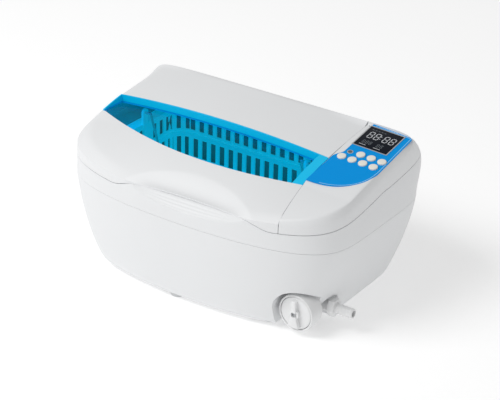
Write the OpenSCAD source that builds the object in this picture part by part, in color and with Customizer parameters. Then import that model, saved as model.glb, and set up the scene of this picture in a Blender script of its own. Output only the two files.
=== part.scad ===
// Bench ultrasonic cleaner, three litres, with a hinged lid, a digital
// control pod, a lift-out basket and a drain valve.
// Millimetres. +X is the pod side, +Y the back, +Z up. The origin is on the
// bench at the centre of the housing's footprint.

/* [Housing] */
// Overall width of the housing
body_w = 382; // [378:1:386]
// Overall depth of the housing
body_d = 277.4; // [275:0.2:280]
// Height of the widest line round the housing
belt_z = 110; // [106:1:114]
// Height of the joint between lower and upper housing
part_z = 107.7; // [106:0.1:109]
// Thickness of the moulded walls
wall = 2.5; // [2:0.1:3]
// Height of the underside of the housing, on its feet
floor_z = 6; // [5:0.5:7]

/* [Tank] */
// Inside length of the tank
tank_l = 252; // [246:1:254]
// Inside depth of the tank, front to back
tank_w = 138; // [134:1:140]
// Depth of the tank below its rim
tank_h = 85; // [82:1:86]
// Height of the deck that the tank hangs in
deck_z = 138; // [137:0.5:139]

/* [Basket] */
// Depth of the basket
basket_h = 66; // [60:1:70]
// Slots along each long wall
slot_count = 15; // [13:1:17]

/* [Controls] */
// Diameter of a key cap
key_d = 10.6; // [10:0.1:11]
// Travel of a key
key_travel = 0.8; // [0.6:0.1:1]

/* [Drain] */
// Radius of the drain knob
knob_r = 20; // [19:0.5:20.5]
// Outside diameter of the hose barb
barb_d = 12.4; // [12:0.1:13]

/* [Hidden] */

gap = 0.4;               // clearance between neighbouring mouldings
play = 0.05;             // radial clearance of a running fit
half_w = body_w / 2;
half_d = body_d / 2;

white = "#eceef0";
steel = "#c3c7cb";
brass = "#c9a24a";
dark = "#2a2c30";
blue = "#1592e0";

// ---- Skin of the housing: a superellipse at every height ----
side_draft = 0.1641;     // part of the half width lost at the bench
side_power = 1.4061;
end_draft = 0.0993;      // part of the half depth lost at the bench
end_power = 3.3359;
crown_draft = 0.0178;    // loss 60 mm above the widest line
front_n = 2.194;         // exponents of the plan outline
plan_m = 5.56;
rear_n = 8;              // the rear corners are squarer near the top
rear_m = 16;
lean_z = 115;            // the rear face leans forward from here up
lean_y = 58.7;           // by this much at the crest
crest_z = 190;
top_z = 194.8;
quarter = 18;            // outline points in a quarter turn
rim = 4 * quarter;

seam_z0 = 148.4;         // the lid seam slopes up towards the back
seam_slope = 0.1565;
seam_gap = 0.6;          // open joint under the lid and the pod
crease_z0 = 167;         // edge where the sides meet the top
crease_slope = 0.235;

handle_x = 12;           // centre of the finger grip under the lid
handle_w = 76;           // half its width
notch_end = 1.45;        // the seam is back at its own height this many half widths out
handle_rise = 9.5;       // the housing rises here to just under the lid's edge
scoop_y = 10;            // depth of the grip
scoop_z = 16;            // height of the grip

function ramp(v, a, b) = min(1, max(0, (v - a) / (b - a)));
function spow(v, p) = sign(v) * pow(abs(v), p);
function below(z, k, p) = 1 - k * pow(max(0, belt_z - z) / belt_z, p);
function above(z) = crown_draft * pow(max(0, z - belt_z) / 60, 2);
function side_fit(z) = below(z, side_draft, side_power) - above(z);
function end_fit(z) = below(z, end_draft, end_power) - above(z);
function lean(z) = lean_y * pow(max(0, z - lean_z) / (crest_z - lean_z), 2);

// Direction of outline point i: closer together along the short sides
function plan_angle(i) =
    let (q = floor(i / quarter), v = (i - q * quarter) / quarter)
    90 * (q + (q % 2 == 0 ? pow(v, 2.2) : 1 - pow(1 - v, 2.2)));

// Nominal plan position of outline point i, before taper and lean
function plan_x(i) = half_w * spow(cos(plan_angle(i)), 2 / front_n);
function plan_y(i) = half_d * spow(sin(plan_angle(i)), 2 / plan_m);

// How far the finger grip dents the front wall
function scoop(x, z) =
    let (u = (x - handle_x) / handle_w, drop = scoop_z * sqrt(max(0, 1 - u * u)),
         top = crease_z0 - 31)
    abs(u) >= 1 ? 0 : scoop_y * (1 - u * u) * ramp(z, top - drop, top);

function skin(i, z, inset) =
    let (t = plan_angle(i), s = sin(t), back = s > 0, k = back ? pow(ramp(z, belt_z, crest_z), 2) : 0,
         n = front_n + (rear_n - front_n) * k, m = plan_m + (rear_m - plan_m) * k,
         x = (half_w * side_fit(z) - inset) * spow(cos(t), 2 / n),
         y = (half_d * end_fit(z) - (back ? lean(z) : 0) - inset) * spow(s, 2 / m))
    [x, s < 0 && z < crease_z0 - 30 ? y + scoop(x, z) : y, z];

function notch(i) =
    let (u = abs(plan_x(i) - handle_x) / handle_w)
    plan_y(i) < 0 ? handle_rise * (1 - ramp(u, 1, notch_end)) : 0;
function seam(i) = let (y = plan_y(i)) seam_z0 + seam_slope * y * (y > 0 ? 0.82 : 1) + notch(i);
function crease(i) =
    let (y = plan_y(i)) crease_z0 + crease_slope * y + (y > 0 ? -0.00045 : 0.0002) * y * y;

// Height of the lid's top, and of the pod's flat control face
crest_y = 78;
function back_off(y) = max(0, crest_y - y);
function ridge(y) = top_z - 0.1 * back_off(y) - 34.9 * pow(back_off(y) / 214, 3.28);
function arch(y) = ramp(y, -136, -66);   // the arch dies out at the front edge
function lid_top(x, y) = ridge(y) - arch(y) * pow(x + 30, 2) / 3000;
pod_slope_x = -0.045;
pod_slope_y = 0.17;
pod_at = [150, 30];      // reference point of the control face
pod_z = 181.6;
function pod_face(x, y) = pod_z + pod_slope_x * (x - pod_at[0]) + pod_slope_y * (y - pod_at[1]);
pod_step = 7;            // the pod's rear edge is this much under the lid's
function pod_top(x, y) =
    min(pod_face(x, y), ridge(y) + arch(y) * (pod_slope_x * (x - split_x) - pod_step));

// ---- Solids from rings of points ----
function tri(a, b, c) = [a, b, c];
function walls(rows, wrap) = [
    for (j = [0 : rows - (wrap ? 1 : 2)], i = [0 : rim - 1], h = [0, 1])
        let (k = (i + 1) % rim, lo = j * rim, hi = ((j + 1) % rows) * rim)
        h == 0 ? tri(lo + i, hi + i, hi + k) : tri(lo + i, hi + k, lo + k)
];
function flat_list(rings) = [for (r = rings) for (p = r) p];

// Closed tube of skin: the rings go up the outside and down the inside
module tube(rings) {
    polyhedron(points = flat_list(rings), faces = walls(len(rings), true), convexity = 6);
}

// Solid with a flat bottom and top
module loft(rings) {
    rows = len(rings);
    polyhedron(
        points = flat_list(rings),
        faces = concat(
            walls(rows, false),
            [[for (i = [0 : rim - 1]) i]],
            [[for (i = [0 : rim - 1]) rows * rim - 1 - i]]
        ),
        convexity = 6
    );
}

function ring(z, inset) = [for (i = [0 : rim - 1]) skin(i, z, inset)];
function band_ring(k, inset) =
    [for (i = [0 : rim - 1]) skin(i, part_z + (seam(i) - part_z) * k, inset)];

lower_levels = [for (k = [0 : 8]) floor_z + (part_z - floor_z) * k / 8];

// Everything inside the skin of the lower housing
module lower_core(inset) loft([for (z = lower_levels) ring(z, inset)]);

// Ring of the cap at fraction f of the way out from its middle
cap_mid = [0, -25];
function cap_point(i, f, inset, pod) =
    let (r = skin(i, crease(i), inset), x = cap_mid[0] + f * (r[0] - cap_mid[0]),
         y = cap_mid[1] + f * (r[1] - cap_mid[1]),
         z = pod ? pod_top(x, y) : lid_top(x, y),
         z_rim = pod ? pod_top(r[0], r[1]) : lid_top(r[0], r[1]),
         s = pow(ramp(f, pod ? 0.975 : 0.9, 1), 2))
    [x, y, z - s * (z_rim - r[2]) - inset];

// Everything under the top skin, down to the seam. An inset core is the hollow
// of a full one, so its underside lies lower.
module cap_core(inset, pod) {
    drop = inset > 0 ? 1 : -seam_gap;
    outs = [1, 0.975, 0.95, 0.9, 0.8, 0.65, 0.45, 0.25];
    low = [for (i = [0 : rim - 1]) skin(i, seam(i) - drop, inset)];
    mid_i = rim * (len(outs) + 1);
    foot_i = mid_i + 1;
    points = concat(
        low,
        flat_list([for (f = outs) [for (i = [0 : rim - 1]) cap_point(i, f, inset, pod)]]),
        [[cap_mid[0], cap_mid[1], (pod ? pod_top(0, -25) : lid_top(0, -25)) - inset]],
        [[cap_mid[0], cap_mid[1], seam_z0 - drop]]
    );
    polyhedron(
        points = points,
        faces = concat(
            walls(len(outs) + 1, false),
            [for (i = [0 : rim - 1]) tri(mid_i, (i + 1) % rim + mid_i - rim, i + mid_i - rim)],
            [for (i = [0 : rim - 1]) tri(foot_i, i, (i + 1) % rim)]
        ),
        convexity = 6
    );
}

// Plan outline of the skin at one height, for flat pieces
module plan_outline(z, inset) {
    polygon([for (i = [0 : rim - 1]) let (p = skin(i, z, inset)) [p[0], p[1]]]);
}

// ---- Small shared shapes ----
module rrect(l, w, r) {
    square([l - 2 * r, w], center = true);
    square([l, w - 2 * r], center = true);
    for (x = [-1, 1], y = [-1, 1]) translate([x * (l / 2 - r), y * (w / 2 - r)]) circle(r, $fn = 48);
}
module slab(l, w, h, r) linear_extrude(h) rrect(l, w, r);
module rod(d, h) cylinder(d = d, h = h, $fn = 48);
module pipe(d_out, d_in, h) {
    difference() {
        rod(d_out, h);
        translate([0, 0, -1]) rod(d_in, h + 2);
    }
}
module along_x() rotate([0, 90, 0]) children();
module along_y() rotate([-90, 0, 0]) children();
module hexagon(flats, h) cylinder(d = flats / cos(30), h = h, $fn = 6);

// ---- Split between lid and pod: it moves out towards the front edge ----
split_x = 121.5;
split_flare = 8;
split_y = [-60, -126];   // the flare starts and ends here
far = 400;               // beyond the housing on every side
function split_line(shift) = [
    [split_x + shift, far], [split_x + shift, split_y[0]],
    [split_x + split_flare + shift, split_y[1]], [split_x + split_flare + shift, -far]
];
module lid_side(clear) linear_extrude(far) polygon(concat([[-far, -far], [-far, far]], split_line(-clear)));
module pod_plan(clear) polygon(concat([[far, -far], [far, far]], split_line(clear)));
module pod_side(clear) linear_extrude(far) pod_plan(clear);

// Block that the deck and its plinth fill, for what stands on or over it
module deck_block(clear) {
    translate([0, 0, 100]) linear_extrude(deck_z + clear - 100) plan_outline(deck_z, plinth - clear);
}

// ---- Feet, base and screws ----
foot_spots = concat(
    [for (x = [-104, 104], y = [-98, 98]) [x, y]],
    [for (y = [-115, 115]) [-14, y]]
);
screw_spots = [[-135, -88], [-135, 90], [135, 92], [92, -108]];
screw_l = 24;
sill = 22;               // width of the inturned floor of the lower housing
plate_z = floor_z + wall;
plate_t = 2;

module rubber_feet() {
    color(dark)
        for (p = foot_spots)
            translate([p[0], p[1], 0]) {
                cylinder(r1 = 8.5, r2 = 10, h = floor_z, $fn = 48);
                rod(6, plate_z);
            }
}

module base_plate() {
    color(white)
        translate([0, 0, plate_z])
            difference() {
                linear_extrude(plate_t) plan_outline(plate_z, wall + 1.5);
                for (p = screw_spots) translate([p[0], p[1], -1]) rod(4.2, plate_t + 2);
                for (a = [-20 : 8 : 20])
                    translate([fan_at[0] + a - 1.5, fan_at[1] - 22, -1]) cube([3, 44, plate_t + 2]);
                for (a = [-60 : 10 : 40])
                    translate([a, -55, -1]) cube([3, 34, plate_t + 2]);
                // Corner left free for the knob and the outlet
                knob_pocket(pocket_r + wall, pocket_y + wall);
                outlet_notch(wall);
            }
}

module housing_screws() {
    color(steel)
        for (p = screw_spots)
            translate([p[0], p[1], plate_z]) {
                translate([0, 0, -2.4]) rod(7.6, 2.4);
                rod(3.8, screw_l);
            }
}

// ---- Lower housing, with its knob pocket, outlet notch and inlet window ----
valve_at = [147.8, -74, 28.1];
pocket_r = 27;
pocket_y = -91;          // back wall of the knob pocket
notch_z = 42;            // top of the outlet notch
notch_r = 15;
notch_x = 148;           // inner wall of the outlet notch
inlet_x = 40;            // middle of the power inlet
inlet_z = 52;
inlet_y = 131.2;         // flat pad that its flange sits on
inlet_flange = [50, 3, 25];
inlet_body = [27.2, 34, 23.2];
inlet_screw_x = 20;      // its two screws stand this far from the middle
vent_x = [-110 : 12 : 10];
vent_z = [70 : 8 : 86];  // three rows of vents in the rear wall

module inlet_box(l, h, y0, y1) {
    translate([inlet_x - l / 2, y0, inlet_z - h / 2]) cube([l, y1 - y0, h]);
}

module knob_pocket(r, y) {
    translate([valve_at[0], y, valve_at[2]]) rotate([90, 0, 0]) rod(2 * r, 80);
    translate([valve_at[0] - r, y - 80, -20]) cube([2 * r + 40, 80, valve_at[2] + 20]);
}

module outlet_notch(grow) {
    r = notch_r + grow;
    translate([notch_x - grow, valve_at[1] - r, -20]) cube([60, 2 * r, notch_z - notch_r + 20]);
    translate([notch_x - grow, valve_at[1], notch_z - notch_r]) along_x() rod(2 * r, 60);
}

// Clearance holes for the valve's neck and body
module valve_holes() {
    translate([valve_at[0], pocket_y - 1, valve_at[2]]) along_y() rod(neck_d + 1, 14);
    translate([notch_x - 8, valve_at[1], valve_at[2]]) along_x() rod(valve_d + 1, 14);
}

module lower_housing() {
    color(white) {
        difference() {
            tube(concat(
                [for (z = lower_levels) ring(z, 0)],
                [for (k = [8 : -1 : 1]) ring(lower_levels[k], wall)],
                [ring(plate_z, wall), ring(plate_z, sill), ring(floor_z, sill)]
            ));
            knob_pocket(pocket_r, pocket_y);
            outlet_notch(0);
            inlet_box(inlet_flange[0] + 1, inlet_flange[2] + 1, 100, 160);
            for (p = foot_spots) translate([p[0], p[1], 0]) rod(6.2, 20);
            for (p = screw_spots) translate([p[0], p[1], 0]) rod(8, 20);
            valve_holes();
            // Vents in the rear wall
            for (a = vent_x, z = vent_z) translate([a - 4, 110, z]) cube([8, 40, 3]);
        }
        // Pad for the power inlet
        difference() {
            intersection() {
                lower_core(0.3);
                inlet_box(inlet_flange[0] + 5, inlet_flange[2] + 5, inlet_y - 2.5, 160);
            }
            inlet_box(inlet_flange[0] + 1, inlet_flange[2] + 1, inlet_y, 170);
            inlet_box(inlet_body[0] + 0.8, inlet_body[2] + 0.8, 100, 160);
            for (e = [-inlet_screw_x, inlet_screw_x])
                translate([inlet_x + e, 100, inlet_z]) along_y() rod(3.2, 60);
        }
        // Walls that close the pocket and the notch off from the inside
        difference() {
            intersection() {
                lower_core(0.3);
                union() {
                    knob_pocket(pocket_r + 2, pocket_y + 2);
                    outlet_notch(2);
                }
                translate([100, -140, floor_z]) cube([90, 84, 70]);
            }
            knob_pocket(pocket_r, pocket_y);
            outlet_notch(0);
            valve_holes();
        }
    }
}

// ---- Upper housing: band, deck and the raised plinth the lid closes over ----
plinth = 16;             // the plinth stands in from the skin
gutter_z = 116;
gutter_y = -40;          // the gutter and the plinth's wall end here
step_y = -68;
tank_at = [-30, 3];
hinge_y = 116.5;
hinge_z = 163;
hinge_x = [-85, 45];     // middle of each hinge
barrel_d = 8;
knuckle_l = 14;

module hinge_barrel(x0, x1) {
    translate([x0, hinge_y, hinge_z]) along_x() rod(barrel_d, x1 - x0);
}

module upper_housing() {
    color(white)
        difference() {
            union() {
                tube(concat(
                    [for (k = [0 : 5]) band_ring(k / 5, 0)],
                    [for (k = [5 : -1 : 0]) band_ring(k / 5, wall)]
                ));
                // The deck; in front of one line it stops at the plinth
                translate([0, 0, deck_z - wall]) linear_extrude(wall) difference() {
                    plan_outline(deck_z, wall - 0.5);
                    difference() {
                        plan_outline(deck_z, 0);
                        plan_outline(deck_z, plinth);
                        translate([-far, step_y]) square([2 * far, far]);
                    }
                }
                // Gutter round the front, and the plinth's wall
                translate([0, 0, gutter_z]) linear_extrude(wall) difference() {
                    plan_outline(gutter_z, wall - 0.5);
                    plan_outline(gutter_z, plinth + wall);
                    translate([-far, gutter_y]) square([2 * far, far]);
                }
                translate([0, 0, gutter_z]) linear_extrude(deck_z - gutter_z) difference() {
                    plan_outline(deck_z, plinth);
                    plan_outline(deck_z, plinth + wall);
                    translate([-far, gutter_y]) square([2 * far, far]);
                }
                // Screw bosses hang from the deck down to the base plate
                for (p = screw_spots)
                    translate([p[0], p[1], plate_z + plate_t + 0.1])
                        pipe(9, 4, deck_z - wall / 2 - plate_z - plate_t);
                // Two ears on the back for each hinge
                for (x = hinge_x, e = [-1, 1])
                    translate([x + e * knuckle_l * 1.08 - knuckle_l / 2, 0, 0]) {
                        hinge_barrel(0, knuckle_l);
                        translate([0, hinge_y - 2, hinge_z - 24]) cube([knuckle_l, 5, 24]);
                        translate([0, hinge_y - 8, hinge_z - 28]) cube([knuckle_l, 11, 12]);
                    }
            }
            translate([tank_at[0], tank_at[1], deck_z - wall - 1])
                slab(tank_l + 3, tank_w + 3, 10, 32);
            for (x = hinge_x)
                translate([x - 40, hinge_y, hinge_z]) along_x() rod(4 + 2 * play, 80);
            // Room for the lid's knuckle
            for (x = hinge_x)
                translate([x - knuckle_l / 2 - gap, hinge_y - 15, hinge_z - 9])
                    cube([knuckle_l + 2 * gap, 36, 24]);
            // Passage for the ribbon cable, under the pod
            translate([cable_at[0] - 4, cable_at[1] - 2, deck_z - 10]) cube([cable_w + 8, 6, 20]);
        }
}

module hinge_pins() {
    color(steel)
        for (x = hinge_x)
            translate([x - 22, hinge_y, hinge_z]) along_x() rod(4, 44);
}

// ---- Lid ----
window_x = [-178, 117];
window_back = -11;
window_low = 150;        // the pane lies wholly above this height
function window_front(x) = -83.5 + 0.00064 * pow(abs(x + 3), 2.12);
window_steps = 24;
module window_outline(grow) {
    polygon(concat(
        [for (k = [0 : window_steps])
            let (x = window_x[0] - grow + (window_x[1] - window_x[0] + 2 * grow) * k / window_steps)
            [x, window_front(x) - grow]],
        [[window_x[1] + grow, window_back + grow], [window_x[0] - grow, window_back + grow]]
    ));
}

module lid_shell() {
    color(white)
        difference() {
            union() {
                difference() {
                    intersection() {
                        cap_core(0, false);
                        lid_side(gap);
                    }
                    intersection() {
                        cap_core(wall, false);
                        lid_side(gap + wall);
                    }
                }
                for (x = hinge_x) {
                    translate([x - knuckle_l / 2, 0, 0]) {
                        hinge_barrel(0, knuckle_l);
                        translate([0, hinge_y - 14, hinge_z - 0.5]) cube([knuckle_l, 14, 4.5]);
                    }
                }
            }
            translate([0, 0, 100]) linear_extrude(120) window_outline(0);
            for (x = hinge_x)
                translate([x - 40, hinge_y, hinge_z]) along_x() rod(4 + 2 * play, 80);
            deck_block(gap);
        }
}

module lid_window() {
    color("#27b5e6", 0.6)
        intersection() {
            difference() {
                cap_core(wall + 0.1, false);
                cap_core(wall + 2.3, false);
            }
            translate([0, 0, window_low]) linear_extrude(100) window_outline(4);
            lid_side(gap + wall + 0.2);
        }
}

// ---- Control pod: everything is laid out in the tilted plane of its face ----
module on_face() {
    translate([pod_at[0], pod_at[1], pod_z])
        rotate([atan(pod_slope_y), atan(-pod_slope_x), 0])
            children();
}
fascia_t = 1.2;
fascia_mid = [-26, -35];
fascia_rx = 61.5;
fascia_ry = 55;
module fascia_outline(grow) {
    polygon(concat(
        [for (a = [-90 : 6 : 0])
            [fascia_mid[0] + (fascia_rx + grow) * spow(cos(a), 2 / 2.3),
             fascia_mid[1] + (fascia_ry + grow) * spow(sin(a), 2 / 2.3)]],
        [[33.5 + grow, 40], [30 + grow, 43 + grow], [fascia_mid[0] - grow, 46 + grow],
         [fascia_mid[0] - grow, fascia_mid[1] - fascia_ry - grow]]
    ));
}
display_at = [2, 17.5];
display_size = [45, 42];
key_pitch = 14;
key_row_low = [-17.5, -31.6];
key_row_high = [0, -18.1];
light_at = [-14, -18.8];
low_keys = [for (k = [0 : 3]) [key_row_low[0] + k * key_pitch, key_row_low[1]]];
high_keys = [for (k = [0 : 2]) [key_row_high[0] + (k - 0.02) * key_pitch, key_row_high[1]]];
board_down = 12;         // the control board lies this far under the face

module key_holes(d, h) {
    for (p = concat(low_keys, high_keys)) translate([p[0], p[1], 0]) rod(d, h);
}

module control_pod() {
    color(white)
        difference() {
            union() {
                difference() {
                    intersection() {
                        cap_core(0, true);
                        pod_side(gap);
                    }
                    intersection() {
                        cap_core(wall + 1, true);
                        pod_side(gap + wall);
                    }
                }
                // Its side wall goes down to the deck beside the tank
                translate([0, 0, deck_z])
                    linear_extrude(seam_z0 + 2 - deck_z)
                        difference() {
                            intersection() {
                                pod_plan(gap);
                                translate([0, -95]) square([far, 185]);
                                plan_outline(deck_z, plinth);
                            }
                            pod_plan(gap + wall);
                        }
            }
            deck_block(0);
            on_face() {
                translate([0, 0, -fascia_t]) linear_extrude(30) fascia_outline(0.15);
                translate([display_at[0], display_at[1], -10])
                    cube([display_size[0] + 0.6, display_size[1] + 0.6, 30], center = true);
                translate([0, 0, -20]) key_holes(key_d + 0.6, 30);
                translate([0, 0, -20]) key_holes(key_d + 2, 20 - key_depth + 1.2);
                translate([light_at[0], light_at[1], -20]) rod(5.4, 30);
            }
        }
}

module control_fascia() {
    color(blue)
        on_face()
            difference() {
                translate([0, 0, -fascia_t]) linear_extrude(fascia_t) fascia_outline(0);
                translate([display_at[0], display_at[1], 0])
                    cube([display_size[0] + 0.4, display_size[1] + 0.4, 30], center = true);
                translate([0, 0, -5]) key_holes(key_d + 0.4, 30);
                translate([light_at[0], light_at[1], -5]) rod(5.2, 30);
            }
}

module display_module() {
    color(dark)
        on_face()
            translate([display_at[0], display_at[1], -board_down / 2 + 0.2])
                cube([display_size[0], display_size[1], board_down - 0.4], center = true);
}

module indicator_light() {
    color("#ff5a4a")
        on_face()
            translate([light_at[0], light_at[1], -board_down]) rod(5, board_down + 0.2);
}

module control_board() {
    color("#2c7a45")
        on_face()
            translate([-24, -48, -board_down - 1.6])
                difference() {
                    cube([52, 84, 1.6]);
                    for (x = [4, 48], y = [4, 80]) translate([x, y, -1]) rod(3, 4);
                }
}

switch_h = 3.6;
module tact_switches() {
    color(dark)
        on_face()
            for (p = concat(low_keys, high_keys))
                translate([p[0], p[1], -board_down]) {
                    translate([-3, -3, 0]) cube([6, 6, switch_h]);
                    rod(3.4, switch_h + 0.7);
                }
}

// A cap proud of the face, a flange that keeps it in, and a stem to its switch
key_proud = 1.8;
key_depth = 5.6;
plunger_top = -board_down + switch_h + 0.7;
module key(p) {
    color("#f6f3ea")
        on_face()
            translate([p[0], p[1], 0]) {
                translate([0, 0, -key_depth]) rod(key_d, key_depth + key_proud);
                translate([0, 0, -key_depth]) rod(key_d + 1.2, 1);
                translate([0, 0, plunger_top + key_travel + 0.1])
                    rod(3.4, -key_depth + 1 - plunger_top - key_travel);
            }
}
module key_power() key(low_keys[0]);
module key_heat() key(low_keys[1]);
module key_degas() key(low_keys[2]);
module key_drain() key(low_keys[3]);
module key_minus() key(high_keys[0]);
module key_plus() key(high_keys[1]);
module key_start() key(high_keys[2]);

// ---- Tank, gasket and basket ----
tank_t = 0.8;
tank_r = 30;
flange = 10;
rim_z = deck_z + 1.5;    // the gasket lies between deck and flange
tank_floor = rim_z + tank_t - tank_h;
drain_xy = [72, -30];

module at_tank(z) translate([tank_at[0], tank_at[1], z]) children();

module tank() {
    color(steel)
        difference() {
            union() {
                at_tank(tank_floor - tank_t)
                    slab(tank_l + 2 * tank_t, tank_w + 2 * tank_t, tank_h, tank_r + tank_t);
                at_tank(rim_z)
                    slab(tank_l + 2 * flange, tank_w + 2 * flange, tank_t, tank_r + flange);
            }
            at_tank(tank_floor) slab(tank_l, tank_w, tank_h + 10, tank_r);
            translate([drain_xy[0], drain_xy[1], tank_floor - 5]) rod(12, 10);
        }
}

module tank_gasket() {
    color(dark)
        at_tank(deck_z)
            difference() {
                slab(tank_l + 2 * flange - 2, tank_w + 2 * flange - 2, rim_z - deck_z, tank_r + flange - 1);
                translate([0, 0, -1]) slab(tank_l + 4, tank_w + 4, 10, tank_r + 2);
            }
}

basket_l = 238;
basket_w = 124;
basket_r = 24;
basket_t = 2;
basket_step = 3;         // the lower half stands in by this much
basket_top = rim_z + tank_t + 0.1;
slot_w = 8;
slot_pitch = 13.4;
bail_y = -3;
bail_z = 157;
bail_d = 3;
bail_drop = 58;

module basket_layer(z, h, step) {
    at_tank(z)
        difference() {
            slab(basket_l - 2 * step, basket_w - 2 * step, h, basket_r - step);
            translate([0, 0, -1])
                slab(basket_l - 2 * step - 2 * basket_t, basket_w - 2 * step - 2 * basket_t, h + 2,
                     basket_r - step - basket_t);
        }
}

module basket() {
    low = basket_top - basket_h;
    mid = basket_top - 30;
    color("#f2f4f5")
        difference() {
            union() {
                basket_layer(mid, 32, 0);
                basket_layer(low, basket_h - 30 + basket_t, basket_step);
                // Ledge between the halves, floor and rim
                at_tank(mid) difference() {
                    slab(basket_l, basket_w, basket_t, basket_r);
                    translate([0, 0, -1])
                        slab(basket_l - 2 * basket_step - 4, basket_w - 2 * basket_step - 4, 6,
                             basket_r - basket_step - 2);
                }
                at_tank(low) slab(basket_l - 2 * basket_step, basket_w - 2 * basket_step, basket_t,
                                  basket_r - basket_step);
                at_tank(basket_top) difference() {
                    slab(tank_l + 12, tank_w + 12, 2, tank_r + 6);
                    translate([0, 0, -1])
                        slab(basket_l - 2 * basket_t, basket_w - 2 * basket_t, 6, basket_r - basket_t);
                }
                // Posts that carry the bail
                for (e = [-1, 1])
                    translate([tank_at[0] + e * (basket_l / 2 - 1) - 1.5, bail_y - 5, mid]) {
                        cube([3, 10, bail_z - mid]);
                        translate([0, 5, bail_z - mid]) along_x() rod(10, 3);
                    }
            }
            // Slots through the long walls, the lower row half a pitch along
            for (k = [0 : slot_count - 1]) {
                x = tank_at[0] + (k - (slot_count - 1) / 2) * slot_pitch;
                translate([x - slot_w / 2, -100, mid + 5]) cube([slot_w, 200, 20]);
                if (k < slot_count - 1)
                    translate([x + slot_pitch / 2 - slot_w / 2, -100, low + 6])
                        cube([slot_w, 200, basket_h - 30 - 10]);
            }
            for (k = [-3 : 3])
                if (k != 0)
                    translate([tank_at[0] - 150, tank_at[1] + k * slot_pitch - slot_w / 2, low + 6])
                        cube([300, slot_w, basket_h - 30 - 10]);
            for (k = [0 : slot_count - 2])
                translate([tank_at[0] + (k - (slot_count - 2) / 2) * slot_pitch - 3, -45, low - 1])
                    cube([6, 96, 5]);
            translate([tank_at[0] - 150, bail_y, bail_z]) along_x() rod(bail_d + 2 * play, 300);
        }
}

bail_tilt = 18;
module basket_bail() {
    reach = basket_l / 2 - 1;
    inner = reach - 9;
    color(steel)
        translate([tank_at[0], bail_y, bail_z])
            rotate([bail_tilt, 0, 0]) {
                for (e = [-1, 1]) {
                    translate([e > 0 ? inner : -reach - 3, 0, 0]) along_x() rod(bail_d, reach - inner + 3);
                    translate([e * inner, 0, 0]) sphere(d = bail_d, $fn = 48);
                    translate([e * inner, 0, -bail_drop]) rod(bail_d, bail_drop);
                    translate([e * inner, 0, -bail_drop]) sphere(d = bail_d, $fn = 48);
                }
                translate([-inner, 0, -bail_drop]) along_x() rod(bail_d, 2 * inner);
            }
}

// ---- Transducers, heaters and sensor, bonded under and round the tank ----
transducer_at = [[-95, 3], [12, 3]];
under = tank_floor - tank_t;
bond = 0.3;
face_h = 15;
ring_h = 4;
electrode_h = 0.3;
back_h = 13;
lead_d = 1.6;
lead_y = 27;             // the leads stand this far behind the transducer's axis
lead_z = 13;
lead_end = 98;

module each_transducer(down) {
    for (p = transducer_at) translate([p[0], p[1], under - bond - down]) children();
}
module transducer_faces() {
    color("silver")
        each_transducer(face_h) {
            difference() {
                cylinder(r1 = 19, r2 = 25, h = face_h, $fn = 64);
                translate([0, 0, -1]) rod(8, 11);
            }
        }
}
module transducer_rings() {
    color("#3b3a38")
        for (k = [0, 1])
            each_transducer(face_h + (k + 1) * ring_h + k * electrode_h) pipe(38, 16, ring_h);
}
module transducer_electrodes() {
    color(brass)
        for (k = [0, 1])
            each_transducer(face_h + (k + 1) * (ring_h + electrode_h)) {
                pipe(38, 16, electrode_h);
                translate([-4 * k, 18, 0]) cube([4, lead_y - 17 + 2 * k, electrode_h]);
            }
}
stack = face_h + 2 * (ring_h + electrode_h);
module transducer_backs() {
    color("#8f9499")
        each_transducer(stack + back_h) pipe(38, 10, back_h);
}
module transducer_bolts() {
    color(dark)
        each_transducer(stack + back_h)
            difference() {
                union() {
                    translate([0, 0, -4]) rod(13, 4);
                    rod(8, stack + back_h - face_h + 10);
                }
                translate([0, 0, -5]) hexagon(6, 4);
            }
}
module transducer_leads() {
    color("#b0352c")
        for (p = transducer_at, k = [0, 1])
            translate([p[0] + 2 - k * 4, p[1] + lead_y + k * 2, lead_z]) {
                rod(lead_d, under - bond - face_h - (k + 1) * (ring_h + electrode_h) - lead_z);
                along_x() rod(lead_d, lead_end - p[0] - 2 + k * 4);
                sphere(d = lead_d, $fn = 32);
            }
}
module heater_pads() {
    color("#c8622a")
        for (e = [-1, 1])
            translate([tank_at[0] - 80, tank_at[1] + e * (tank_w / 2 + tank_t + 1) - 0.9, tank_floor + 12])
                cube([160, 1.8, 36]);
}
module temperature_sensor() {
    color("#d8d2c4")
        translate([tank_at[0] + 88, tank_at[1] + 30, under - 6.2]) {
            rod(14, 6);
            translate([-9, -3, 5]) cube([18, 6, 1]);
        }
}

// ---- Drain: fitting, hose, valve, knob and outlet ----
hose_z = valve_at[2];
hose_dip = 10;
hose_rise_x = drain_xy[0] + 26;
module drain_fitting() {
    color(brass)
        translate([drain_xy[0], drain_xy[1], 0])
            difference() {
                union() {
                    translate([0, 0, tank_floor - tank_t - 10]) rod(11.8, 10 + tank_t + 0.6);
                    translate([0, 0, tank_floor]) rod(18, 1);
                    translate([0, 0, tank_floor - tank_t - 4]) hexagon(17, 3.9);
                    translate([0, 0, hose_z - 3]) rod(9, under - 6 - hose_z);
                }
                translate([0, 0, hose_z - 4]) rod(6, 60);
            }
}
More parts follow.
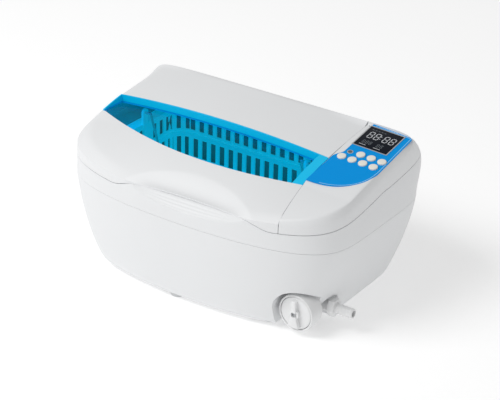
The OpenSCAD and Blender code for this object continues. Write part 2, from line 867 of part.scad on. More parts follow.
// A hose down from the tank, across at valve height and into the valve
module drain_hose() {
    x1 = valve_at[0] - 26;
    color("#d7dade")
        difference() {
            union() {
                translate([drain_xy[0], drain_xy[1], hose_z - hose_dip]) rod(12, 20);
                translate([drain_xy[0], drain_xy[1], hose_z - hose_dip]) sphere(d = 12, $fn = 48);
                translate([drain_xy[0], valve_at[1], hose_z - hose_dip])
                    along_y() rod(12, drain_xy[1] - valve_at[1]);
                translate([drain_xy[0], valve_at[1], hose_z - hose_dip]) sphere(d = 12, $fn = 48);
                translate([drain_xy[0], valve_at[1], hose_z - hose_dip]) along_x() rod(12, 26);
                translate([hose_rise_x, valve_at[1], hose_z - hose_dip]) sphere(d = 12, $fn = 48);
                translate([hose_rise_x, valve_at[1], hose_z - hose_dip]) rod(12, hose_dip);
                translate([hose_rise_x, valve_at[1], hose_z]) sphere(d = 12, $fn = 48);
                translate([hose_rise_x, valve_at[1], hose_z]) along_x() rod(12, x1 - hose_rise_x);
            }
            translate([drain_xy[0], drain_xy[1], hose_z - 4]) rod(9.1, 30);
            translate([x1 - 10, valve_at[1], hose_z]) along_x() rod(9.1, 30);
            translate([drain_xy[0], drain_xy[1], hose_z - hose_dip]) rod(6, hose_dip);
            translate([x1 - 20, valve_at[1], hose_z]) along_x() rod(6, 12);
        }
}
valve_d = 24;
neck_d = 16;
stem_d = 6;
ball_d = 15;
knob_y = -112;           // face of the knob
stem_end = knob_y + 5;
module at_valve() translate(valve_at) children();
module valve_body() {
    color("#e6e8ea")
        at_valve()
            difference() {
                union() {
                    translate([-13, 0, 0]) along_x() rod(valve_d, 24);
                    translate([-35.5, 0, 0]) along_x() rod(9, 30);
                    translate([0, -15.5, 0]) along_y() rod(neck_d, 10);
                    translate([10, 0, 0]) along_x() rod(13.6, 16.5);
                }
                // Chamber of the ball, round the stem's axis
                translate([0, -7.9, 0]) along_y() rod(ball_d + 0.4, 15.8);
                translate([-40, 0, 0]) along_x() rod(6, 40);
                along_x() rod(7.9, 40);
                translate([0, -20, 0]) along_y() rod(stem_d + 2 * play, 20);
            }
}
module valve_ball() {
    color(steel)
        at_valve()
            difference() {
                union() {
                    sphere(d = ball_d, $fn = 96);
                    translate([0, stem_end - valve_at[1], 0]) along_y() rod(stem_d, valve_at[1] - stem_end);
                }
                // Closed at rest: the bore of the ball stands across the flow
                translate([0, 0, -10]) rod(6, 20);
                translate([0, stem_end - valve_at[1] - 1, 0]) along_y() rod(3, 20);
            }
}
bezel_y = pocket_y - 0.1;    // back of the fixed ring round the knob
module knob_bezel() {
    color(white)
        translate([valve_at[0], knob_y, valve_at[2]])
            along_y()
                difference() {
                    rod(2 * knob_r + 5, bezel_y - knob_y);
                    translate([0, 0, -1]) rod(2 * knob_r + 0.8, bezel_y - knob_y - 1);
                    rod(neck_d + 1, 60);
                }
}
screw_seat = -0.6;       // seat of the screw's head, from the knob's face
module drain_knob() {
    color("#f4f5f6")
        translate([valve_at[0], knob_y, valve_at[2]])
            difference() {
                union() {
                    along_y() rod(2 * knob_r, 9);
                    translate([0, 8, 0]) along_y() rod(12, 6);
                    // Grip bar with a boss at the middle
                    translate([-2.6, -5.5, -knob_r + 3]) cube([5.2, 6, 2 * knob_r - 5]);
                    translate([0, -4, 0]) along_y() rod(12, 6);
                }
                // Socket of the stem, screw hole and the seat of the screw's head
                translate([0, stem_end - knob_y - 0.1, 0]) along_y() rod(stem_d + 0.1, 30);
                translate([0, -8, 0]) along_y() rod(3.2, 40);
                translate([0, -8, 0]) along_y() rod(6.4, 8 + screw_seat);
            }
}
module knob_screw() {
    color(steel)
        translate([valve_at[0], knob_y + screw_seat - 2.4, valve_at[2]])
            along_y()
                difference() {
                    union() {
                        rod(5.6, 2.4);
                        rod(2.9, 22);
                    }
                    translate([-0.4, -3, -1]) cube([0.8, 6, 1.8]);
                    translate([-3, -0.4, -1]) cube([6, 0.8, 1.8]);
                }
}
nut_x = valve_at[0] + 27.5;
barb_tip = 201.3;
barb_start = nut_x + 4;
barb_pitch = 4.4;
module outlet_nut() {
    color(white)
        translate([nut_x - 4.5, valve_at[1], valve_at[2]])
            along_x()
                difference() {
                    hexagon(20, 8);
                    translate([0, 0, -1]) rod(14, 10);
                }
}
module outlet_barb() {
    color("#eef0f1")
        at_valve()
            difference() {
                union() {
                    translate([26.6, 0, 0]) along_x() rod(13.8, 5);
                    translate([26.6, 0, 0]) along_x() rod(barb_d, barb_tip - valve_at[0] - 26.6);
                }
                along_x() rod(7.9, 80);
                for (k = [1 : 4])
                    translate([barb_tip - valve_at[0] - k * barb_pitch, 0, 0])
                        along_x() pipe(20, barb_d - 1, 0.9);
            }
}

// ---- Driver electronics to the right of the tank ----
board_at = [101, -56, 24];
board_size = [52, 74, 1.6];
standoff_spots = [for (x = [4, 48], y = [4, 70]) [x, y]];
module on_board(z) translate([board_at[0], board_at[1], board_at[2] + z]) children();
module driver_board() {
    color("#2c7a45")
        on_board(0)
            difference() {
                cube(board_size);
                for (p = standoff_spots) translate([p[0], p[1], -1]) rod(3.2, 4);
            }
}
module board_standoffs() {
    color(brass)
        for (p = standoff_spots)
            on_board(0)
                translate([p[0], p[1], 0]) {
                    translate([0, 0, plate_z + plate_t - board_at[2]])
                        hexagon(5.5, board_at[2] - plate_z - plate_t);
                    rod(3, board_size[2]);
                    translate([0, 0, board_size[2]]) rod(5.4, 1.8);
                }
}
module driver_transformer() {
    color("#d9b23c")
        on_board(board_size[2])
            translate([12, 48, 0]) {
                cube([26, 24, 5]);
                translate([2, 4, 5]) cube([22, 16, 16]);
                translate([-1, 7, 21]) cube([28, 10, 4]);
                translate([-1, 7, 5]) cube([3, 10, 16]);
                translate([24, 7, 5]) cube([3, 10, 16]);
            }
}
module driver_capacitors() {
    color("#26344f")
        on_board(board_size[2]) {
            for (k = [0 : 2]) translate([12 + 15 * k, 14, 0]) rod(13, 24);
            translate([8, 40, 0]) cube([18, 6, 12]);
        }
}
module driver_heatsink() {
    color("#9aa0a6")
        on_board(board_size[2])
            translate([2, 22, 0]) {
                cube([36, 2.5, 26]);
                for (k = [0 : 5]) translate([k * 6.25, 2.5, 6]) cube([1.6, 7, 20]);
            }
}
// Flat cable from the driver board up through the deck to the control board
cable_at = [141, -33.6];
cable_w = 12;
cable_top = 156.4;
module ribbon_cable() {
    foot_z = board_at[2] + board_size[2];
    color("#b9bcc0")
        translate([cable_at[0], cable_at[1], foot_z]) {
            cube([cable_w, 1.2, cable_top - foot_z]);
            cube([cable_w, 6, 3]);
        }
}

module power_inlet() {
    color(dark)
        difference() {
            union() {
                inlet_box(inlet_body[0], inlet_body[2], inlet_y - inlet_body[1], inlet_y + 1);
                inlet_box(inlet_flange[0], inlet_flange[2], inlet_y, inlet_y + inlet_flange[1]);
            }
            inlet_box(22, 16, inlet_y - 18, 160);
            for (e = [-inlet_screw_x, inlet_screw_x])
                translate([inlet_x + e, 100, inlet_z]) along_y() rod(3.2, 60);
        }
    // Three contact blades
    color(brass)
        for (p = [[-7, -2], [7, -2], [0, 3]])
            translate([inlet_x + p[0] - 1, inlet_y - 19, inlet_z + p[1] - 2]) cube([2, 16, 4]);
}
module inlet_screws() {
    color(steel)
        for (e = [-inlet_screw_x, inlet_screw_x])
            translate([inlet_x + e, inlet_y + inlet_flange[1], inlet_z]) {
                along_y() rod(5.6, 1.8);
                translate([0, -12, 0]) along_y() rod(3, 12.5);
            }
}

// ---- Cooling fan on the base plate ----
fan_at = [127, 50, 11];
fan_size = 56;
fan_t = 15;
module fan_frame() {
    color(dark)
        translate(fan_at) {
            difference() {
                translate([-fan_size / 2, -fan_size / 2, 0]) cube([fan_size, fan_size, fan_t]);
                translate([0, 0, -1]) rod(fan_size - 3, fan_t + 2);
                for (x = [-1, 1], y = [-1, 1]) translate([x * 24, y * 24, -1]) rod(3.6, fan_t + 2);
            }
            rod(18, 2);
            rod(3, 9);
            for (a = [0 : 90 : 270]) rotate(a) translate([8, -1.5, 0]) cube([fan_size / 2 - 9, 3, 1.6]);
        }
}
module fan_rotor() {
    color("#3b3f45")
        translate([fan_at[0], fan_at[1], fan_at[2] + 2.6])
            difference() {
                union() {
                    rod(20, fan_t - 4);
                    for (a = [0 : 360 / 7 : 359])
                        rotate(a)
                            translate([8, 0, 1])
                                rotate([35, 0, 0]) translate([0, -5, 2]) cube([17, 10, 1.2]);
                }
                translate([0, 0, -1]) rod(3 + 2 * play, 9);
            }
}

lower_housing();
base_plate();
rubber_feet();
upper_housing();
control_pod();
lid_shell();
lid_window();
hinge_pins();
housing_screws();
tank();
tank_gasket();
transducer_faces();
transducer_rings();
transducer_electrodes();
transducer_backs();
transducer_bolts();
heater_pads();
temperature_sensor();
drain_fitting();
drain_hose();
valve_body();
valve_ball();
knob_bezel();
drain_knob();
knob_screw();
outlet_barb();
outlet_nut();
basket();
basket_bail();
control_fascia();
display_module();
indicator_light();
control_board();
tact_switches();
key_power();
key_heat();
key_degas();
key_drain();
key_minus();
key_plus();
key_start();
ribbon_cable();
driver_board();
driver_transformer();
driver_capacitors();
driver_heatsink();
board_standoffs();
power_inlet();
inlet_screws();
fan_frame();
fan_rotor();
transducer_leads();
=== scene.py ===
"""Looks of the bench ultrasonic cleaner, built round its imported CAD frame.

Lengths are in millimetres until a mesh is made, and t is the angle of the housing's
superellipse outline. The skin formulas are the ones that the CAD frame follows.
"""
import math

import bmesh
import bpy
import numpy as np
from mathutils import Matrix, Vector


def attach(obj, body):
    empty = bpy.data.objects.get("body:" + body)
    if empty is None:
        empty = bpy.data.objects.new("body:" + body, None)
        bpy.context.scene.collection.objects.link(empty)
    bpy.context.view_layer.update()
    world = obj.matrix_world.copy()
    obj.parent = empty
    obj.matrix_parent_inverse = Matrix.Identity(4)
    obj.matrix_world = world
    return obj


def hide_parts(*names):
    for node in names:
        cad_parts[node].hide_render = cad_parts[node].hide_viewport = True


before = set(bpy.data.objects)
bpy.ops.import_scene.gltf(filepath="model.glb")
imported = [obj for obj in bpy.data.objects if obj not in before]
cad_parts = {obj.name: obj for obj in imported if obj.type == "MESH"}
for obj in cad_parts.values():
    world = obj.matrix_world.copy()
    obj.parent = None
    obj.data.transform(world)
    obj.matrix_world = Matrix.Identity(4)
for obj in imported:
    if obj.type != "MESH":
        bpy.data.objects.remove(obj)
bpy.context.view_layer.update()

MM = 0.001

# ---- Skin of the housing ----
HALF_W, HALF_D = 191.0, 138.7
BELT_Z, PART_Z, FLOOR_Z, WALL = 110.0, 107.7, 6.0, 2.5
GAP = 0.4
SPLIT_X, SPLIT_FLARE, SPLIT_Y = 121.5, 8.0, (-60.0, -126.0)
DECK_Z, PLINTH = 138.0, 16.0
CAP_MID = np.array([0.0, -25.0])
FAR = 400.0


def ramp(v, a, b):
    return np.clip((v - a) / (b - a), 0.0, 1.0)


def smooth(v, a, b):
    s = ramp(v, a, b)
    return s * s * (3 - 2 * s)


def spow(v, p):
    return np.sign(v) * np.abs(v) ** p


def below(z, share, power):
    return 1 - share * (np.maximum(0, BELT_Z - z) / BELT_Z) ** power


def above(z):
    return 0.0178 * (np.maximum(0, z - BELT_Z) / 60) ** 2


def lean(z):
    return 58.7 * (np.maximum(0, z - 115) / 75) ** 2


def skin(t, z, inset=0.0):
    """Point of the skin at outline angle t and height z, moved in by inset."""
    s, c = np.sin(t), np.cos(t)
    back = s > 0
    k = np.where(back, ramp(z, BELT_Z, 190) ** 2, 0)
    n, m = 2.194 + (8 - 2.194) * k, 5.56 + (16 - 5.56) * k
    x = (HALF_W * (below(z, 0.1641, 1.4061) - above(z)) - inset) * spow(c, 2 / n)
    y_max = HALF_D * (below(z, 0.0993, 3.3359) - above(z)) - np.where(back, lean(z), 0)
    return x, (y_max - inset) * spow(s, 2 / m)


def outline_angles(count):
    """Angles at an even spacing along the outline."""
    t = np.linspace(0, 2 * math.pi, 8000)
    x, y = skin(t, np.full_like(t, 140.0))
    run = np.concatenate([[0], np.cumsum(np.hypot(np.diff(x), np.diff(y)))])
    return np.interp(np.linspace(0, run[-1], count, endpoint=False), run, t)


def plan_y(t):
    return HALF_D * spow(np.sin(t), 2 / 5.56)


def plan_x(t):
    return HALF_W * spow(np.cos(t), 2 / 2.194)


# ---- Finger grip: a dish in the lid, a lip, and a scoop under it ----
GRIP_X, GRIP_W = 12.0, 76.0
DISH_W, DISH_H, DISH_Y = 90.0, 34.0, -137.0
DISH_DEPTH, LIP_RISE, LIP_IN = 5.5, 4.2, 6.5
SCOOP_H = 15.5
SCOOP_IN = 9.0


def grip(x):
    """1 at the middle of the grip and 0 from its ends out."""
    return np.maximum(0, 1 - ((x - GRIP_X) / GRIP_W) ** 2)


def lip_rise(t):
    u = np.abs(plan_x(t) - GRIP_X) / GRIP_W
    return np.where(plan_y(t) < 0, 9.5 * (1 - smooth(u, 0.97, 1.45)) + LIP_RISE * grip(plan_x(t)), 0)


def seam(t):
    y = plan_y(t)
    return 148.4 + 0.1565 * y * np.where(y > 0, 0.82, 1) + lip_rise(t)


def crease(t):
    y = plan_y(t)
    grip_lift = np.where(y < 0, LIP_RISE * grip(plan_x(t)), 0)
    return 167 + 0.235 * y + np.where(y > 0, -0.00045, 0.0002) * y * y + grip_lift


def ridge(y):
    d = np.maximum(0, 78 - y)
    return 194.8 - 0.1 * d - 34.9 * (d / 214) ** 3.28


def arch(y):
    return ramp(y, -136, -66)


def lid_top(x, y):
    return ridge(y) - arch(y) * (x + 30) ** 2 / 3000


def pod_face(x, y):
    return 181.6 - 0.045 * (x - 150) + 0.17 * (y - 30)


def pod_top(x, y):
    return np.minimum(pod_face(x, y), ridge(y) - arch(y) * (7 + 0.045 * (x - SPLIT_X)))


def dish(x, y):
    """0 above the dish's arc, growing to 1 at the front edge in the middle of the grip."""
    u = np.clip((x - GRIP_X) / DISH_W, -1, 1)
    height = DISH_H * (1 - u * u) ** 0.75
    return ramp(y, DISH_Y + height, DISH_Y) * (height > 0.5) * (1 - u * u) ** 0.6


# ---- Mesh helpers ----
def new_mesh(name, points, faces):
    mesh = bpy.data.meshes.new(name)
    mesh.from_pydata([tuple(p) for p in np.asarray(points) * MM], [], faces)
    mesh.update()
    obj = bpy.data.objects.new(name, mesh)
    bpy.context.scene.collection.objects.link(obj)
    return obj


def grid_faces(rows, count, wrap_rows=False):
    faces = []
    for j in range(rows if wrap_rows else rows - 1):
        low, high = j * count, ((j + 1) % rows) * count
        for i in range(count):
            k = (i + 1) % count
            faces.append((low + i, low + k, high + k, high + i))
    return faces


def ring_solid(name, rings, wrap=False, start=None, end=None):
    """Closed solid from rings of points. start and end are its end points, or it wraps."""
    rings = np.asarray(rings, float)
    rows, count = rings.shape[:2]
    points = list(rings.reshape(-1, 3))
    faces = grid_faces(rows, count, wrap)
    if not wrap:
        for centre, row, turn in ((start, 0, True), (end, rows - 1, False)):
            if centre is None:
                loop = [row * count + i for i in range(count)]
                faces.append(tuple(reversed(loop)) if turn else tuple(loop))
                continue
            points.append(centre)
            for i in range(count):
                a, b = row * count + i, row * count + (i + 1) % count
                faces.append((b, a, len(points) - 1) if turn else (a, b, len(points) - 1))
    obj = new_mesh(name, points, faces)
    fix_normals(obj)
    return obj


def fix_normals(obj):
    bm = bmesh.new()
    bm.from_mesh(obj.data)
    bmesh.ops.recalc_face_normals(bm, faces=bm.faces)
    bm.to_mesh(obj.data)
    bm.free()


def lathe(name, profile, axis="Z", at=(0, 0, 0), count=72, closed=True):
    """Solid of revolution. profile is (radius, height) pairs, a closed loop or from axis to axis."""
    a = np.linspace(0, 2 * math.pi, count, endpoint=False)
    rings = [[(r * math.cos(v), r * math.sin(v), h) for v in a] for r, h in profile if r > 0 or closed]
    if closed:
        obj = ring_solid(name, rings, wrap=True)
    else:
        obj = ring_solid(name, rings, start=(0, 0, profile[0][1]), end=(0, 0, profile[-1][1]))
    turn(obj, axis, at)
    return obj


TURNS = {
    "Z": Matrix.Identity(4),
    "X": Matrix.Rotation(math.pi / 2, 4, "Y"),
    "-Y": Matrix.Rotation(math.pi / 2, 4, "X"),
    "Y": Matrix.Rotation(-math.pi / 2, 4, "X"),
}


def turn(obj, axis, at):
    obj.data.transform(Matrix.Translation(Vector(at) * MM) @ TURNS[axis])


def prism(name, outline, z0, z1):
    ring = [(x, y) for x, y in outline]
    obj = ring_solid(name, [[(x, y, z) for x, y in ring] for z in (z0, z1)])
    return obj


def block(name, low, high, bevel=0.0, segments=3):
    (x0, y0, z0), (x1, y1, z1) = low, high
    obj = prism(name, [(x0, y0), (x1, y0), (x1, y1), (x0, y1)], z0, z1)
    if bevel:
        round_edges(obj, bevel, segments)
    return obj


def round_edges(obj, width, segments=3, angle=35):
    mod = obj.modifiers.new("round", "BEVEL")
    mod.width = width * MM
    mod.segments = segments
    mod.limit_method = "ANGLE"
    mod.angle_limit = math.radians(angle)
    mod.harden_normals = False
    apply_modifiers(obj)


def apply_modifiers(obj):
    graph = bpy.context.evaluated_depsgraph_get()
    mesh = bpy.data.meshes.new_from_object(obj.evaluated_get(graph))
    obj.modifiers.clear()
    old = obj.data
    obj.data = mesh
    bpy.data.meshes.remove(old)


def combine(obj, other, operation):
    """Boolean of two closed meshes. other is used up."""
    mod = obj.modifiers.new("combine", "BOOLEAN")
    mod.object = other
    mod.operation = operation
    mod.solver = "MANIFOLD"
    bpy.context.view_layer.update()
    apply_modifiers(obj)
    mesh = other.data
    bpy.data.objects.remove(other)
    bpy.data.meshes.remove(mesh)
    return obj


def cut(obj, other):
    return combine(obj, other, "DIFFERENCE")


def keep(obj, other):
    return combine(obj, other, "INTERSECT")


def add(obj, other):
    return combine(obj, other, "UNION")


def shade(obj, angle=32):
    mesh = obj.data
    mesh.polygons.foreach_set("use_smooth", [True] * len(mesh.polygons))
    mesh.set_sharp_from_angle(angle=math.radians(angle))
    mesh.update()
    return obj


def clean(obj, distance=0.004):
    bm = bmesh.new()
    bm.from_mesh(obj.data)
    bmesh.ops.remove_doubles(bm, verts=bm.verts, dist=distance * MM)
    bmesh.ops.dissolve_degenerate(bm, edges=bm.edges, dist=distance * MM)
    bm.to_mesh(obj.data)
    bm.free()
    return obj


def finish_piece(obj, material, body, *nodes, angle=32):
    clean(obj)
    shade(obj, angle)
    obj.data.materials.clear()
    obj.data.materials.append(material)
    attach(obj, body)
    if nodes:
        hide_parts(*nodes)
    return obj


# ---- Materials ----
def node_material(name):
    mat = bpy.data.materials.new(name)
    mat.use_nodes = True
    tree = mat.node_tree
    return mat, tree, tree.nodes["Principled BSDF"]


def plastic(name, color, roughness=0.42, grain=0.6, bump=0.06, tint=0.02, shine=0.5, painted_glow=0.0):
    """Moulded plastic: fine moulded grain, slight colour drift and uneven gloss. Any painted_glow adds painted light,
    an emission in the plastic's own colour.
    """
    mat, tree, shader = node_material(name)
    new, link = tree.nodes.new, tree.links.new
    coords = new("ShaderNodeTexCoord")
    fine = new("ShaderNodeTexNoise")
    fine.inputs["Scale"].default_value = 1000 / grain
    fine.inputs["Detail"].default_value = 3
    broad = new("ShaderNodeTexNoise")
    broad.inputs["Scale"].default_value = 9
    broad.inputs["Detail"].default_value = 4
    for tex in (fine, broad):
        link(coords.outputs["Object"], tex.inputs["Vector"])
    drift = new("ShaderNodeValToRGB")
    drift.color_ramp.elements[0].position = 0.3
    drift.color_ramp.elements[1].position = 0.7
    drift.color_ramp.elements[0].color = [c * (1 - tint) for c in color] + [1]
    drift.color_ramp.elements[1].color = list(color) + [1]
    link(broad.outputs["Fac"], drift.inputs["Fac"])
    link(drift.outputs["Color"], shader.inputs["Base Color"])
    gloss = new("ShaderNodeMapRange")
    gloss.inputs["To Min"].default_value = roughness - 0.05
    gloss.inputs["To Max"].default_value = roughness + 0.05
    link(broad.outputs["Fac"], gloss.inputs["Value"])
    link(gloss.outputs["Result"], shader.inputs["Roughness"])
    relief = new("ShaderNodeBump")
    relief.inputs["Strength"].default_value = bump
    relief.inputs["Distance"].default_value = 0.0002
    link(fine.outputs["Fac"], relief.inputs["Height"])
    link(relief.outputs["Normal"], shader.inputs["Normal"])
    shader.inputs["Specular IOR Level"].default_value = shine
    # Painted light: an emission that makes the plastic glow as if lit, though it is no lamp
    if painted_glow:
        link(drift.outputs["Color"], shader.inputs["Emission Color"])
        shader.inputs["Emission Strength"].default_value = painted_glow
    return mat


def metal(name, color, roughness=0.28, brush=(900, 900, 20), bump=0.05):
    """Metal with fine brushed lines along the axis of the smallest scale."""
    mat, tree, shader = node_material(name)
    new, link = tree.nodes.new, tree.links.new
    coords, stretch = new("ShaderNodeTexCoord"), new("ShaderNodeMapping")
    stretch.inputs["Scale"].default_value = brush
    lines = new("ShaderNodeTexNoise")
    lines.inputs["Scale"].default_value = 1
    lines.inputs["Detail"].default_value = 4
    link(coords.outputs["Object"], stretch.inputs["Vector"])
    link(stretch.outputs["Vector"], lines.inputs["Vector"])
    tone = new("ShaderNodeValToRGB")
    tone.color_ramp.elements[0].color = [c * 0.86 for c in color] + [1]
    tone.color_ramp.elements[1].color = list(color) + [1]
    link(lines.outputs["Fac"], tone.inputs["Fac"])
    link(tone.outputs["Color"], shader.inputs["Base Color"])
    gloss = new("ShaderNodeMapRange")
    gloss.inputs["To Min"].default_value = roughness - 0.06
    gloss.inputs["To Max"].default_value = roughness + 0.08
    link(lines.outputs["Fac"], gloss.inputs["Value"])
    link(gloss.outputs["Result"], shader.inputs["Roughness"])
    relief = new("ShaderNodeBump")
    relief.inputs["Strength"].default_value = bump
    relief.inputs["Distance"].default_value = 0.0001
    link(lines.outputs["Fac"], relief.inputs["Height"])
    link(relief.outputs["Normal"], shader.inputs["Normal"])
    shader.inputs["Metallic"].default_value = 1
    return mat


def tinted_pane(name, color, reflect=0.09):
    """Clear tinted plastic: see-through colour with a faint streaky reflection, and a faint painted glow of the tint
    colour.
    """
    mat, tree, shader = node_material(name)
    new, link = tree.nodes.new, tree.links.new
    tree.nodes.remove(shader)
    clear, shine, mix = new("ShaderNodeBsdfTransparent"), new("ShaderNodeBsdfGlossy"), new("ShaderNodeMixShader")
    coords, broad, tone = new("ShaderNodeTexCoord"), new("ShaderNodeTexNoise"), new("ShaderNodeValToRGB")
    broad.inputs["Scale"].default_value = 12
    link(coords.outputs["Object"], broad.inputs["Vector"])
    tone.color_ramp.elements[0].color = [c * 0.95 for c in color] + [1]
    tone.color_ramp.elements[1].color = list(color) + [1]
    link(broad.outputs["Fac"], tone.inputs["Fac"])
    link(tone.outputs["Color"], clear.inputs["Color"])
    shine.inputs["Roughness"].default_value = 0.08
    fresnel = new("ShaderNodeFresnel")
    fresnel.inputs["IOR"].default_value = 1.45
    scale = new("ShaderNodeMath")
    scale.operation = "MULTIPLY"
    scale.inputs[1].default_value = reflect * 10
    link(fresnel.outputs["Fac"], scale.inputs[0])
    link(scale.outputs["Value"], mix.inputs["Fac"])
    link(clear.outputs["BSDF"], mix.inputs[1])
    link(shine.outputs["BSDF"], mix.inputs[2])
    # Painted light: a faint emission of the tint colour brightens the pane as if lit from behind
    pane_painted_glow, both = new("ShaderNodeEmission"), new("ShaderNodeAddShader")
    link(tone.outputs["Color"], pane_painted_glow.inputs["Color"])
    pane_painted_glow.inputs["Strength"].default_value = 0.025
    link(mix.outputs["Shader"], both.inputs[0])
    link(pane_painted_glow.outputs["Emission"], both.inputs[1])
    link(both.outputs["Shader"], tree.nodes["Material Output"].inputs["Surface"])
    return mat


WHITE = plastic("white_plastic", (0.80, 0.81, 0.82), roughness=0.46)
WHITE_SMALL = plastic("white_fitting_plastic", (0.82, 0.825, 0.83), roughness=0.34, grain=0.4)
# Painted light: the basket glows with an emission of 0.26 to stand in for light reaching it inside the tank under the
# tinted lens
BASKET = plastic("basket_plastic", (0.86, 0.87, 0.88), roughness=0.40, grain=0.8, painted_glow=0.26)
PANEL = plastic("blue_panel_film", (0.0, 0.31, 0.80), shine=0.06, roughness=0.5, grain=0.3, bump=0.03, tint=0.05)
# Painted light: the lens's rim walls glow with an emission of 0.12 to stand in for light shining through the clear blue
# walls
RIM_BLUE = plastic("blue_clear_rim", (0.0, 0.50, 0.82), roughness=0.30, grain=1.5, bump=0.02, tint=0.05, shine=0.3, painted_glow=0.12)
PANE = tinted_pane("blue_pane", (0.0, 0.80, 1.0), reflect=0.012)
KEY = plastic("key_plastic", (0.86, 0.84, 0.77), roughness=0.38, grain=0.4)
BLACK = plastic("black_plastic", (0.012, 0.013, 0.016), roughness=0.3, grain=0.4)
SCREEN = plastic("display_glass", (0.004, 0.006, 0.012), roughness=0.35, grain=2, bump=0.0, shine=0.12)
TANK = metal("tank_steel", (0.10, 0.11, 0.13), roughness=0.4)
FOOT = plastic("foot_rubber", (0.62, 0.63, 0.64), roughness=0.7, grain=0.5, bump=0.2)
RUBBER = plastic("black_rubber", (0.03, 0.03, 0.032), roughness=0.75, grain=0.5, bump=0.2)
STEEL = metal("brushed_steel", (0.62, 0.63, 0.65))
BRASS = metal("brass", (0.70, 0.50, 0.20), roughness=0.3, brush=(300, 300, 300))
ALLOY = metal("cast_alloy", (0.62, 0.63, 0.64), roughness=0.45, brush=(200, 200, 200))
DARK_STEEL = metal("black_oxide_steel", (0.06, 0.06, 0.065), roughness=0.4, brush=(300, 300, 300))
CERAMIC = plastic("piezo_ceramic", (0.06, 0.055, 0.05), roughness=0.6, grain=0.3)
SILICONE = plastic("silicone", (0.55, 0.20, 0.06), roughness=0.5, grain=0.8)
HOSE = plastic("hose_silicone", (0.72, 0.74, 0.76), roughness=0.3, grain=1)
BOARD = plastic("solder_mask", (0.015, 0.16, 0.05), roughness=0.3, grain=0.6, tint=0.25)
CABLE = plastic("cable_grey", (0.42, 0.43, 0.45), roughness=0.5, grain=0.5)
WINDING = plastic("winding_tape", (0.60, 0.36, 0.05), roughness=0.45, grain=0.8, tint=0.2)
SLEEVE = plastic("capacitor_sleeve", (0.03, 0.05, 0.12), roughness=0.25, grain=0.6)
LEAD = plastic("lead_insulation", (0.50, 0.04, 0.03), roughness=0.45, grain=0.4)
LAMP = plastic("lamp_lens", (0.10, 0.12, 0.14), roughness=0.2, grain=1)

CAD_MATERIALS = {
    "base_plate": WHITE, "rubber_feet": FOOT, "hinge_pins": STEEL, "housing_screws": STEEL,
    "tank": TANK, "tank_gasket": RUBBER, "transducer_faces": ALLOY, "transducer_rings": CERAMIC,
    "transducer_electrodes": BRASS, "transducer_backs": STEEL, "transducer_bolts": DARK_STEEL,
    "heater_pads": SILICONE, "temperature_sensor": CABLE, "drain_fitting": BRASS,
    "drain_hose": HOSE, "valve_body": WHITE_SMALL, "valve_ball": STEEL, "knob_screw": STEEL,
    "basket_bail": STEEL, "indicator_light": LAMP, "control_board": BOARD,
    "tact_switches": BLACK, "ribbon_cable": CABLE, "driver_board": BOARD,
    "driver_transformer": WINDING, "driver_capacitors": SLEEVE, "driver_heatsink": ALLOY,
    "board_standoffs": BRASS, "power_inlet": BLACK, "inlet_screws": STEEL, "fan_frame": BLACK,
    "fan_rotor": BLACK, "transducer_leads": LEAD,
}


def dress_cad_nodes():
    for name, material in CAD_MATERIALS.items():
        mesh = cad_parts[name].data
        mesh.materials.clear()
        mesh.materials.append(material)


# ---- Shells ----
RIM = 560
T = outline_angles(RIM)


def ring_at(z, inset=0.0, push=None):
    x, y = skin(T, np.broadcast_to(z, T.shape), inset)
    if push is not None:
        y = y + push
    return np.stack([x, y, np.broadcast_to(z, T.shape)], -1)


def plan_ring(z, inset):
    ring = ring_at(z, inset)
    return [(x, y) for x, y, _ in ring[::4]]


def split_line(shift):
    x0, x1 = SPLIT_X + shift, SPLIT_X + SPLIT_FLARE + shift
    return [(x0, FAR), (x0, SPLIT_Y[0]), (x1, SPLIT_Y[1]), (x1, -FAR)]


def lid_side(clear):
    return prism("side", [(-FAR, -FAR), (-FAR, FAR)] + split_line(-clear), 0, FAR)


def pod_side(clear):
    return prism("side", [(FAR, -FAR), (FAR, FAR)] + split_line(clear), 0, FAR)


def deck_block(clear):
    return prism("deck", plan_ring(DECK_Z, PLINTH - clear), 100, DECK_Z + clear)


VALVE = np.array([147.8, -74.0, 28.1])
POCKET_R, POCKET_Y = 27.0, -91.0
NOTCH_R, NOTCH_Z, NOTCH_X = 15.0, 42.0, 148.0


def rod(name, radius, low, high, axis, at, count=96):
    return lathe(name, [(0, low), (radius, low), (radius, high), (0, high)], axis, at, count, closed=False)


def pocket_cutter(grow, y):
    r = POCKET_R + grow
    x, z = VALVE[0], VALVE[2]
    obj = rod("pocket", r, -y, 200, "-Y", (x, 0, z))
    return add(obj, block("pocket_low", (x - r, -200, -20), (x + r + 40, y, z)))


def notch_cutter(grow):
    r = NOTCH_R + grow
    mid = NOTCH_Z - NOTCH_R
    obj = rod("notch", r, NOTCH_X - grow, 220, "X", (0, VALVE[1], mid))
    return add(obj, block("notch_low", (NOTCH_X - grow, VALVE[1] - r, -20), (220, VALVE[1] + r, mid)))


def inlet_cutter(length, height, y0, y1):
    x, z = 40.0, 52.0
    return block("inlet", (x - length / 2, y0, z - height / 2), (x + length / 2, y1, z + height / 2))


